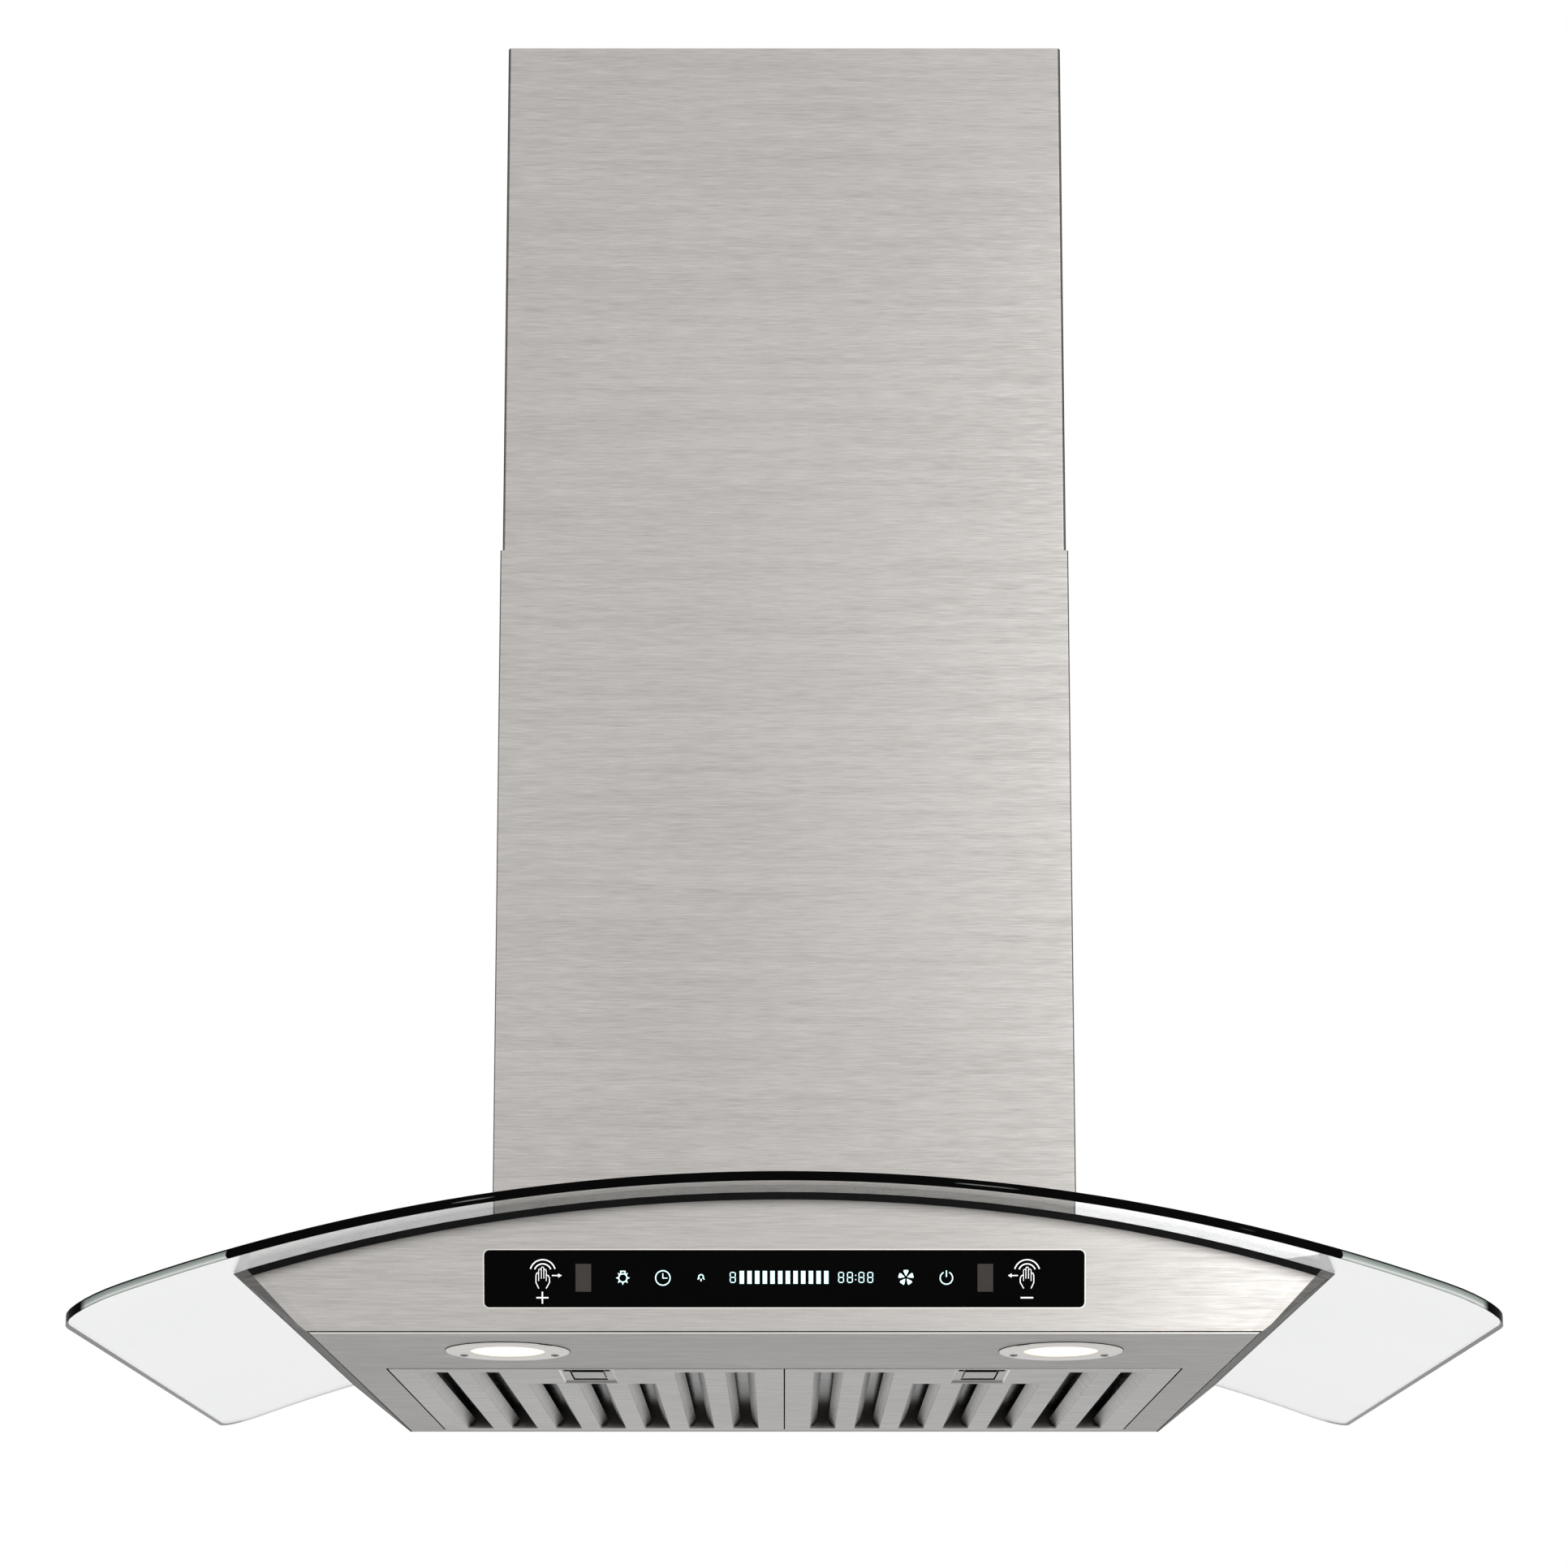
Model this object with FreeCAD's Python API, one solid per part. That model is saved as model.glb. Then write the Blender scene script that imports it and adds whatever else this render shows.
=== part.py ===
import FreeCAD, Part
import math
import os

Vector = FreeCAD.Vector
os.makedirs("parts", exist_ok=True)

# Wall mount range hood with an arched glass canopy, in millimetres.
# +Z is up, the front faces -Y, and the wall is the plane Y = 0.
# Heights are worked out above the hood's underside, and save() lowers every piece so that
# the origin is the middle of the hanging plate, on the wall.
HANG_HEIGHT = 230.0

# Named overruns: how far a cutting body runs past what it cuts, and the size of a half space.
OVERRUN = 5.0
REACH = 1600.0

# Clearances
SLIDING_GAP = 0.4
SEAT_GAP = 0.3
SHAFT_CLEARANCE = 0.05
SCREW_CLEARANCE = 0.2

# Arched glass canopy
GLASS_WIDTH = 760.0
GLASS_DEPTH = 500.0
GLASS_THICKNESS = 5.0
GLASS_RADIUS = 1032.5
GLASS_APEX_HEIGHT = 79.6
GLASS_FRONT_CORNER = 35.0
GLASS_REAR_CORNER = 25.0

# Steel body below the glass
BODY_BOTTOM_WIDTH = 509.0
BODY_TOP_WIDTH = 587.0
BODY_SETBACK = 43.0
FASCIA_HEAD_REACH = 12.0
BODY_SHEET = 1.0
CORNER_FACET_WIDTH = 7.5
CORNER_FACET_SETBACK = 2.0
GASKET_THICKNESS = 4.0
GASKET_WIDTH = 14.0
TOP_PLATE_SHEET = 1.2
DIVIDER_SETBACK = 123.0

# Air way through the top plate and the glass
AIRWAY_WIDTH = 280.0
AIRWAY_FRONT = 244.0
AIRWAY_REAR = 14.0
AIRWAY_CORNER = 12.0
PAD_BORDER = 24.0
CLAMP_GASKET_THICKNESS = 2.0
CLAMP_SHEET = 1.5
CLAMP_WALL_GAP = 2.0
GLASS_SCREW_R = 2.5
GLASS_SCREW_HEAD_R = 5.0
GLASS_SCREW_HEAD = 3.0
GLASS_NUT_R = 4.6
GLASS_NUT = 4.0
GLASS_SCREW_SPREAD = 158.0
GLASS_SCREW_DEPTHS = (55.0, 205.0)
GLASS_FRONT_SCREW_SPREAD = 80.0
GLASS_FRONT_SCREW_DEPTH = 257.0
GLASS_HOLE_MARGIN = 1.5

# Control window in the fascia
CONTROL_WIDTH = 319.0
CONTROL_HEIGHT = 30.0
CONTROL_CENTRE_HEIGHT = 29.0
CONTROL_CORNER = 2.6
CONTROL_GLASS = 3.0
CONTROL_PROUD = 0.4
CONTROL_GAP = 0.2
SENSOR_SPREAD = 107.0
SENSOR_WIDTH = 8.5
SENSOR_HEIGHT = 14.6
SENSOR_DEPTH = 3.0
BOARD_THICKNESS = 1.6
BOARD_MARGIN = 4.0
TRAY_WALL = 1.5
TRAY_LIP = 3.0
TRAY_ROOM = 2.0

# Electronics box inside the body
POWER_BOX_WIDTH = 170.0
POWER_BOX_SETBACK = 29.0
POWER_BOX_DEPTH = 80.0
POWER_BOX_HEIGHT = 38.0
POWER_BOX_WALL = 2.0
POWER_LID = 2.5
POWER_BOARD_LIFT = 6.0
POWER_BOARD_GAP = 3.0
POWER_PART_HEIGHT = 16.0

# Lamps
LAMP_SPREAD = 153.0
LAMP_SETBACK = 64.0
LAMP_BEZEL_R = 34.2
LAMP_BEZEL_PROUD = 0.9
LAMP_HOLE_R = 30.0
LAMP_COLLAR_WALL = 1.6
LAMP_LENS_R = 20.5
LAMP_LENS_FLANGE_R = 23.0
LAMP_LENS_FLANGE = 2.0
LAMP_LENS_INSET = 0.4
LAMP_BODY_R = 32.0
LAMP_BODY_HEIGHT = 20.0
LAMP_FIN_SLOT = 2.6
LAMP_FIN_PITCH = 6.0
LAMP_FIN_DEPTH = 12.0
LAMP_FIN_SLOTS = 9
LAMP_EAR_WIDTH = 12.0
LAMP_EAR_REACH = 38.0
LAMP_EAR_THICKNESS = 2.8
LAMP_SCREW_R = 1.5
LAMP_SCREW_HEAD_R = 2.3
LAMP_SCREW_HEAD = 0.5
LAMP_SCREW_LENGTH = 9.0
LAMP_SCREW_SPREAD = 25.3
LAMP_SCREW_BACKSET = 12.0

# Baffle filters
FILTER_SETBACK = 137.1
FILTER_FRONT_GAP = 1.0
FILTER_SIDE_GAP = 0.6
FILTER_SEAM_GAP = 0.8
FILTER_BORDER = 25.2
FILTER_REAR = 15.0
FILTER_REAR_GAP = 1.6
FILTER_SHEET = 0.8
FILTER_HEIGHT = 16.0
FILTER_TOP_FLANGE = 7.0
SLOT_COUNT = 7
SLOT_WIDTH = 17.0
SLOT_SIDE_BORDER = 16.85
SLOT_FRONT_BORDER = 12.2
SLOT_REAR_BORDER = 9.4
SLOT_FLANK_IN = 4.6
SLOT_FLANK_UP = 6.0
SLOT_FLANK_SHEET = 1.0
HANDLE_SLOTS = (2, 3, 4)
HANDLE_PLATE_DEPTH = 63.2
HOOD_BAFFLE_OVERLAP = 2.5
HOOD_BAFFLE_LOW = 8.6
HOOD_BAFFLE_HIGH = 14.0
TAB_SPREAD = 70.0
TAB_WIDTH = 20.0
TAB_REACH = 6.0
TAB_THICKNESS = 1.0
RIM_HEIGHT = 8.0

# Sliding latch in each filter's handle plate
POCKET_WIDTH = 29.7
POCKET_FRONT_INSET = 2.4
POCKET_LENGTH = 58.0
POCKET_RECESS = 0.5
FINGER_HOLE_LENGTH = 12.5
FINGER_HOLE_MARGIN = 1.4
BUTTON_WIDTH = 18.5
BUTTON_SIDE_GAP = 0.9
BUTTON_LENGTH = 33.0
LATCH_TRAVEL = 4.0
BUTTON_PROUD = 0.2
LATCH_PLATE_WIDTH = 26.0
LATCH_PLATE_THICKNESS = 1.4
LATCH_PLATE_LIFT = 0.5
LATCH_BOLT_WIDTH = 12.0
LATCH_STOP_HEIGHT = 4.4
LATCH_STOP_THICKNESS = 0.8
GUIDE_THICKNESS = 1.0
GUIDE_LIP = 2.4
SPRING_R = 1.9
SPRING_WIRE_R = 0.25
SPRING_TURNS = 6

# Blower housing above the glass
HOUSING_WIDTH = 296.0
HOUSING_DEPTH = 250.0
HOUSING_TOP = 358.0
HOUSING_SHEET = 1.2
HOUSING_FLANGE = 14.0
HANG_PLATE_WIDTH = 300.0
HANG_PLATE_SHEET = 1.5
HANG_HOLE_SPREAD = 100.0
HANG_HOLE_R = 4.5
SAFETY_HOLE_INSET = 9.5
SAFETY_HOLE_HEIGHT = 28.0
SAFETY_HOLE_R = 3.0
HOUSING_SCREW_R = 2.0
HOUSING_SCREW_HEAD_R = 3.6
HOUSING_SCREW_HEAD = 2.2
HOUSING_SCREW_LENGTH = 9.0
HOUSING_SCREW_INSET = 8.0

# Centrifugal blower
BLOWER_AXIS_DEPTH = 95.0
BLOWER_AXIS_HEIGHT = 200.0
VOLUTE_WIDTH = 130.0
VOLUTE_SHEET = 1.0
VOLUTE_R_FIRST = 76.0
VOLUTE_R_STEP = 8.0
VOLUTE_MOUTH_REAR = 10.0
VOLUTE_FLANGE = 10.0
INLET_R = 58.0
INLET_LIP = 2.0
INLET_LIP_LENGTH = 4.0
IMPELLER_R = 68.0
IMPELLER_WIDTH = 118.0
IMPELLER_RING = 3.0
IMPELLER_RING_DEPTH = 6.0
IMPELLER_DISC = 2.0
BLADE_COUNT = 32
BLADE_LENGTH = 10.5
BLADE_THICKNESS = 0.8
BLADE_ANGLE = 32.0
HUB_R = 9.0
HUB_LENGTH = 12.0
SHAFT_R = 4.0
SHAFT_END = 16.0
MOTOR_R = 40.0
MOTOR_START = 8.0
MOTOR_END = 75.0
MOTOR_CAP_R = 14.0
MOTOR_CAP_LENGTH = 5.0
BRACKET_RING = 3.0
BRACKET_START = 71.0
BRACKET_THICKNESS = 2.5
BRACKET_ARM_WIDTH = 12.0
BRACKET_BUSH_R = 70.0
BUSH_R = 5.0
CAPACITOR_R = 14.0
CAPACITOR_LENGTH = 52.0
CAPACITOR_DEPTH = 40.0
CAPACITOR_LOW = 120.0
STRAP_WIDTH = 12.0
STRAP_THICKNESS = 1.0

# Outlet collar with its damper
COLLAR_R = 75.0
COLLAR_WALL = 1.0
COLLAR_HEIGHT = 45.0
COLLAR_FLANGE = 10.0
COLLAR_FLANGE_THICKNESS = 1.2
DAMPER_LIFT = 16.0
DAMPER_PIN_R = 1.5
DAMPER_PIN_SPREAD = 3.2
DAMPER_BARREL_WALL = 0.8
DAMPER_FLAP = 0.8
DAMPER_GAP = 1.5
DAMPER_SEAT_WIDTH = 4.5
DAMPER_SEAT = 1.2
DAMPER_BARREL_END = 8.0
DAMPER_NOTCH = 7.0
GLAND_X = 110.0
GLAND_DEPTH = 60.0
GLAND_BORE_R = 4.5
GLAND_THREAD_R = 8.0
GLAND_FLANGE_R = 11.0
GLAND_FLANGE = 6.0
GLAND_BELOW = 9.0
GLAND_ABOVE = 8.0

# Two part chimney
CHIMNEY_WIDTH = 348.0
CHIMNEY_DEPTH = 275.0
CHIMNEY_SHEET = 0.8
CHIMNEY_BEND = 1.6
CHIMNEY_RETURN = 18.0
LOWER_COVER_TOP = 512.0
UPPER_COVER_TOP = 841.0
UPPER_COVER_HEIGHT = 420.0
FOOT_WIDTH = 80.0
FOOT_DEPTH = 130.0
FOOT_BASE = 22.0
FOOT_SHEET = 1.2
FOOT_TOP = 104.0
FOOT_HOLE_HEIGHT = 93.0
COVER_SCREW_R = 2.0
COVER_SCREW_HEAD_R = 4.0
COVER_SCREW_HEAD = 1.8
COVER_SCREW_LENGTH = 7.0
CEILING_BRACKET_HEIGHT = 30.0
CEILING_BRACKET_SHEET = 1.2
CEILING_BRACKET_TOP_GAP = 4.0
CEILING_PLATE_WIDTH = 296.0
CEILING_ARM = 40.0
CEILING_EAR = 30.0
CEILING_HOLE_SPREAD = 60.0
CEILING_HOLE_R = 3.5

# Worked out from the sizes above
glass_low_radius = GLASS_RADIUS - GLASS_THICKNESS
gasket_low_radius = glass_low_radius - GASKET_THICKNESS
top_plate_low_radius = gasket_low_radius - TOP_PLATE_SHEET
clamp_low_radius = GLASS_RADIUS + CLAMP_GASKET_THICKNESS
clamp_radius = clamp_low_radius + CLAMP_SHEET
arc_axis_height = GLASS_APEX_HEIGHT - GLASS_RADIUS
glass_low_apex = GLASS_APEX_HEIGHT - GLASS_THICKNESS
body_depth = GLASS_DEPTH - BODY_SETBACK
divider_depth = body_depth - DIVIDER_SETBACK
power_box_front = body_depth - POWER_BOX_SETBACK
power_box_rear = power_box_front - POWER_BOX_DEPTH
lamp_depth = body_depth - LAMP_SETBACK
filter_opening_front = body_depth - FILTER_SETBACK
filter_half_width = BODY_BOTTOM_WIDTH / 2 - FILTER_BORDER
safety_hole_spread = BODY_BOTTOM_WIDTH / 2 - SAFETY_HOLE_INSET
filter_front = filter_opening_front - FILTER_FRONT_GAP
rear_strip_edge = FILTER_REAR - FILTER_REAR_GAP
filter_width = filter_half_width - FILTER_SEAM_GAP / 2
filter_middle = (filter_half_width + FILTER_SEAM_GAP / 2) / 2
slot_pitch = (filter_width - SLOT_SIDE_BORDER * 2 - SLOT_WIDTH) / (SLOT_COUNT - 1)
tab_low = BODY_SHEET + SEAT_GAP
clamp_front = AIRWAY_FRONT + PAD_BORDER
clamp_half_width = AIRWAY_WIDTH / 2 + PAD_BORDER + SEAT_GAP * 2
volute_radii = [VOLUTE_R_FIRST + VOLUTE_R_STEP * turn for turn in range(4)]
mouth_front = BLOWER_AXIS_DEPTH + VOLUTE_R_STEP / 2 + volute_radii[3]
mouth_rear = BLOWER_AXIS_DEPTH + VOLUTE_MOUTH_REAR
collar_depth = (mouth_front + mouth_rear) / 2
collar_low = HOUSING_TOP + HOUSING_SHEET
damper_height = collar_low + DAMPER_LIFT
collar_bore_r = COLLAR_R - COLLAR_WALL
flap_r = collar_bore_r - DAMPER_GAP
upper_inset = CHIMNEY_SHEET + SLIDING_GAP
upper_half_width = CHIMNEY_WIDTH / 2 - upper_inset
upper_inner = upper_half_width - CHIMNEY_SHEET
ceiling_screw_height = UPPER_COVER_TOP - CEILING_BRACKET_TOP_GAP - CEILING_BRACKET_HEIGHT / 2
ceiling_screw_depth = CEILING_ARM + CEILING_EAR / 2


def save(name, shape):
    """Writes one sub-part, lowered so that the origin is the hanging plate's middle."""
    placed = shape.copy()
    placed.translate(Vector(0, 0, -HANG_HEIGHT))
    placed.exportStep("parts/" + name + ".step")


def box(x0, x1, y0, y1, z0, z1):
    """A box between two corners, given in either order."""
    low = Vector(min(x0, x1), min(y0, y1), min(z0, z1))
    return Part.makeBox(abs(x1 - x0), abs(y1 - y0), abs(z1 - z0), low)


def rod(radius, start, end):
    """A round bar from one point to another."""
    along = end - start
    return Part.makeCylinder(radius, along.Length, start, along)


def pipe(outer, inner, start, end):
    """A round tube from one point to another."""
    return rod(outer, start, end).cut(rod(inner, start, end))


def join(shapes):
    """One shape of all those given, with faces that lie in one plane made one."""
    whole = shapes[0]
    if len(shapes) > 1:
        whole = shapes[0].multiFuse(shapes[1:])
    return whole.removeSplitter()


def group(shapes):
    """Separate solids kept in one node."""
    return Part.makeCompound(shapes)


def mirrored(shape):
    """The same piece on the other side of the hood's middle plane."""
    return shape.mirror(Vector(0, 0, 0), Vector(1, 0, 0))


def prism(points, along):
    """A solid with straight sides from a closed outline."""
    return Part.Face(Part.makePolygon(points + [points[0]])).extrude(along)


def facing(point, normal):
    """A placement whose Z runs along the normal, at the point."""
    return FreeCAD.Placement(point, FreeCAD.Rotation(Vector(0, 0, 1), normal))


def beyond(point, normal):
    """All that lies beyond a plane, on the side that its normal points to."""
    block = Part.makeBox(REACH, REACH, REACH, Vector(-REACH / 2, -REACH / 2, 0))
    block.Placement = facing(point, normal)
    return block


def skin(point, normal, thickness):
    """A flat sheet whose outer face lies in the plane."""
    sheet = Part.makeBox(REACH, REACH, thickness, Vector(-REACH / 2, -REACH / 2, -thickness))
    sheet.Placement = facing(point, normal)
    return sheet


def arc_height(radius, x):
    """Height above the underside of an arc about the canopy's axis, at x from the middle."""
    return arc_axis_height + math.sqrt(radius ** 2 - x ** 2)


def under_arc(radius, half_width, front, rear, floor):
    """What lies under an arc about the canopy's axis, from a floor up."""
    side = arc_height(radius, half_width)
    foot_left = Vector(-half_width, -front, floor)
    foot_right = Vector(half_width, -front, floor)
    left = Vector(-half_width, -front, side)
    right = Vector(half_width, -front, side)
    crown = Vector(0, -front, arc_height(radius, 0))
    edges = [
        Part.makeLine(left, foot_left),
        Part.makeLine(foot_left, foot_right),
        Part.makeLine(foot_right, right),
        Part.Arc(right, crown, left).toShape(),
    ]
    return Part.Face(Part.Wire(edges)).extrude(Vector(0, front - rear, 0))


def arc_sheet(low, high, half_width, front, rear):
    """A curved sheet between two arcs about the canopy's axis."""
    ends = [arc_height(low, half_width), arc_height(high, half_width)]
    low_left = Vector(-half_width, -front, ends[0])
    low_right = Vector(half_width, -front, ends[0])
    high_right = Vector(half_width, -front, ends[1])
    high_left = Vector(-half_width, -front, ends[1])
    edges = [
        Part.Arc(low_left, Vector(0, -front, arc_height(low, 0)), low_right).toShape(),
        Part.makeLine(low_right, high_right),
        Part.Arc(high_right, Vector(0, -front, arc_height(high, 0)), high_left).toShape(),
        Part.makeLine(high_left, low_left),
    ]
    return Part.Face(Part.Wire(edges)).extrude(Vector(0, front - rear, 0))


def rounded_block(x0, x1, y0, y1, z0, z1, corner):
    """A box with its upright edges rounded."""
    block = box(x0, x1, y0, y1, z0, z1)
    upright = [edge for edge in block.Edges
               if abs(edge.Vertexes[0].Z - edge.Vertexes[1].Z) > abs(z1 - z0) / 2]
    return block.makeFillet(corner, upright)


def on_arc(shape, x):
    """Swings a piece made at the canopy's crown along its arc to x, square to the glass."""
    turned = shape.copy()
    angle = math.degrees(math.asin(x / GLASS_RADIUS))
    turned.rotate(Vector(0, 0, arc_axis_height), Vector(0, 1, 0), angle)
    return turned


# Planes of the steel body
side_foot = Vector(BODY_BOTTOM_WIDTH / 2, 0, 0)
side_head = Vector(BODY_TOP_WIDTH / 2, 0, arc_height(glass_low_radius, BODY_TOP_WIDTH / 2))
side_rise = side_head - side_foot
side_normal = Vector(side_rise.z, 0, -side_rise.x).normalize()
fascia_foot = Vector(0, -body_depth, 0)
fascia_lean = math.atan(FASCIA_HEAD_REACH / glass_low_apex)
fascia_normal = Vector(0, -math.cos(fascia_lean), -math.sin(fascia_lean))
facet_x = BODY_TOP_WIDTH / 2 - CORNER_FACET_WIDTH
facet_height = arc_height(glass_low_radius, facet_x)
facet_foot = Vector(side_foot.x, -body_depth, 0)
facet_inner = Vector(facet_x, -body_depth - facet_height * math.tan(fascia_lean), facet_height)
facet_outer = Vector(side_head.x, facet_inner.y + CORNER_FACET_SETBACK, side_head.z)
facet_normal = (facet_outer - facet_foot).cross(facet_inner - facet_foot).normalize()


def flipped(vector):
    """The same vector on the other side of the middle plane."""
    return Vector(-vector.x, vector.y, vector.z)


if facet_normal.y > 0:
    facet_normal = facet_normal * -1


def body_block(top_radius, inset):
    """The body's outer form, or that form with its upright faces moved inwards."""
    block = under_arc(top_radius, BODY_TOP_WIDTH / 2 + OVERRUN, GLASS_DEPTH, inset, 0)
    planes = [
        (fascia_foot - fascia_normal * inset, fascia_normal),
        (side_foot - side_normal * inset, side_normal),
        (facet_foot - facet_normal * inset, facet_normal),
    ]
    for point, normal in planes:
        block = block.cut(beyond(point, normal))
        if normal.x:
            block = block.cut(beyond(flipped(point), flipped(normal)))
    return block


def make_body_sheets():
    """The body's outer sheets, each cut clear of the one made before it."""
    block = body_block(gasket_low_radius, 0)
    side_sheets = join([skin(side_foot, side_normal, BODY_SHEET),
                        skin(facet_foot, facet_normal, BODY_SHEET)])
    right = block.common(side_sheets).common(box(0, REACH, -REACH, REACH, -REACH, REACH))
    left = mirrored(right)
    fascia = block.common(skin(fascia_foot, fascia_normal, BODY_SHEET)).cut(group([left, right]))
    back = block.common(box(-REACH, REACH, -BODY_SHEET, 0, 0, REACH))
    back = back.cut(group([left, right]))
    floor = block.common(box(-REACH, REACH, -REACH, REACH, 0, BODY_SHEET))
    floor = floor.cut(group([left, right, fascia, back]))
    roof = block.common(arc_sheet(top_plate_low_radius, gasket_low_radius + OVERRUN,
                                  GLASS_WIDTH / 2, GLASS_DEPTH, 0))
    roof = roof.cut(group([left, right, fascia, back]))
    return left, right, fascia, back, floor, roof


def on_fascia(shape):
    """Leans a piece made upright about the origin, and sets it in the control window's place."""
    leaned = shape.copy()
    leaned.rotate(Vector(0, 0, 0), Vector(1, 0, 0), math.degrees(fascia_lean))
    depth = body_depth + CONTROL_CENTRE_HEIGHT * math.tan(fascia_lean)
    leaned.translate(Vector(0, -depth, CONTROL_CENTRE_HEIGHT))
    return leaned


def control_block(margin, outer, inner, corner):
    """A plate of the control window's outline, grown by a margin, between two depths."""
    half = CONTROL_WIDTH / 2 + margin
    rise = CONTROL_HEIGHT / 2 + margin
    block = box(-half, half, -outer, inner, -rise, rise)
    across = [edge for edge in block.Edges
              if abs(edge.Vertexes[0].Y - edge.Vertexes[1].Y) > (outer + inner) / 2]
    return block.makeFillet(corner, across)


def make_control_glass():
    """Black touch glass, a little proud of the fascia."""
    return on_fascia(control_block(0, CONTROL_PROUD, CONTROL_GLASS - CONTROL_PROUD, CONTROL_CORNER))


def control_window():
    """The opening that the touch glass sits in."""
    cut = control_block(CONTROL_GAP, OVERRUN, BODY_SHEET + OVERRUN, CONTROL_CORNER + CONTROL_GAP)
    return on_fascia(cut)


def make_gesture_sensors():
    """Two sensor blocks close behind the touch glass."""
    back = CONTROL_GLASS - CONTROL_PROUD
    block = box(-SENSOR_WIDTH / 2, SENSOR_WIDTH / 2, back, back + SENSOR_DEPTH,
                -SENSOR_HEIGHT / 2, SENSOR_HEIGHT / 2)
    right = block.copy()
    right.translate(Vector(SENSOR_SPREAD, 0, 0))
    return group([on_fascia(right), mirrored(on_fascia(right))])


def make_display_board():
    """Circuit board behind the sensors, with its display block."""
    front = CONTROL_GLASS - CONTROL_PROUD + SENSOR_DEPTH
    half = CONTROL_WIDTH / 2 - BOARD_MARGIN
    rise = CONTROL_HEIGHT / 2 - BOARD_MARGIN
    board = box(-half, half, front, front + BOARD_THICKNESS, -rise, rise)
    display = box(-half / 4, SENSOR_SPREAD / 2, front - SENSOR_DEPTH, front, -rise / 2, rise / 2)
    return on_fascia(join([board, display]))


def tray_depth():
    """How far the control tray reaches behind the fascia's outer face."""
    return CONTROL_GLASS - CONTROL_PROUD + SENSOR_DEPTH + BOARD_THICKNESS + TRAY_ROOM + TRAY_WALL


def make_control_tray():
    """Plastic tray that closes the back of the controls."""
    outer = control_block(TRAY_LIP, 0, tray_depth(), CONTROL_CORNER)
    outer = outer.cut(box(-REACH, REACH, -OVERRUN, BODY_SHEET, -REACH, REACH))
    hollow = control_block(CONTROL_GAP, OVERRUN, tray_depth() - TRAY_WALL, CONTROL_CORNER)
    return on_fascia(outer.cut(hollow))


def make_underside(sheet):
    """Bottom panel with its lamp holes, filter opening and the rim round that."""
    half = filter_half_width + FILTER_SIDE_GAP
    rim = box(-half - BODY_SHEET, half + BODY_SHEET, -filter_opening_front - BODY_SHEET,
              -rear_strip_edge, BODY_SHEET, RIM_HEIGHT)
    opening = box(-half, half, -filter_opening_front, -rear_strip_edge, -OVERRUN, RIM_HEIGHT + OVERRUN)
    bolt_half = LATCH_BOLT_WIDTH / 2 + SEAT_GAP
    notches = []
    for x in (-filter_middle, filter_middle):
        notches.append(box(x - bolt_half, x + bolt_half, -filter_opening_front - OVERRUN,
                           -filter_opening_front + OVERRUN, BODY_SHEET, RIM_HEIGHT))
    panel = join([sheet, rim]).cut(opening)
    panel = panel.cut(group(notches))
    for x in (-LAMP_SPREAD, LAMP_SPREAD):
        panel = panel.cut(rod(LAMP_HOLE_R, Vector(x, -lamp_depth, -OVERRUN),
                              Vector(x, -lamp_depth, OVERRUN)))
    return panel


def safety_holes():
    """Two screw holes through the body's back, near its lower corners."""
    holes = []
    for x in (-safety_hole_spread, safety_hole_spread):
        holes.append(rod(SAFETY_HOLE_R, Vector(x, -OVERRUN, SAFETY_HOLE_HEIGHT),
                         Vector(x, OVERRUN, SAFETY_HOLE_HEIGHT)))
    return group(holes)


def airway(margin, low, high):
    """The air way's upright block, grown by a margin."""
    return rounded_block(-AIRWAY_WIDTH / 2 - margin, AIRWAY_WIDTH / 2 + margin,
                         -AIRWAY_FRONT - margin, -AIRWAY_REAR + min(margin, AIRWAY_REAR / 2),
                         low, high, AIRWAY_CORNER + margin)


def glass_screw_places():
    """Where the canopy's screws stand: x from the middle, and depth from the wall."""
    places = []
    for side in (-1, 1):
        for depth in GLASS_SCREW_DEPTHS:
            places.append((side * GLASS_SCREW_SPREAD, depth))
        places.append((side * GLASS_FRONT_SCREW_SPREAD, GLASS_FRONT_SCREW_DEPTH))
    return places


def screw_holes(radius):
    """Holes along the canopy screws' axes."""
    holes = []
    for x, depth in glass_screw_places():
        hole = rod(radius, Vector(0, -depth, 0), Vector(0, -depth, GLASS_APEX_HEIGHT * 2))
        holes.append(on_arc(hole, x))
    return group(holes)


def make_top_plate(sheet):
    """Curved plate that carries the glass, with the air way and the screw holes."""
    plate = sheet.cut(airway(0, 0, GLASS_APEX_HEIGHT * 2))
    return plate.cut(screw_holes(GLASS_SCREW_R + SCREW_CLEARANCE))


def make_divider():
    """Wall across the body between the filters and the lamps."""
    wall = box(-REACH / 2, REACH / 2, -divider_depth, -divider_depth + BODY_SHEET, BODY_SHEET, REACH)
    inner = body_block(top_plate_low_radius, BODY_SHEET)
    return wall.common(inner)


def make_power_box():
    """Open plastic box for the mains electronics, standing on the underside panel."""
    half = POWER_BOX_WIDTH / 2
    low = BODY_SHEET
    wall = POWER_BOX_WALL
    outer = rounded_block(-half, half, -power_box_front, -power_box_rear, low,
                          low + POWER_BOX_HEIGHT, wall)
    inner = box(-half + wall, half - wall, -power_box_front + wall, -power_box_rear - wall,
                low + wall, low + POWER_BOX_HEIGHT + OVERRUN)
    return outer.cut(inner)


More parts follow.
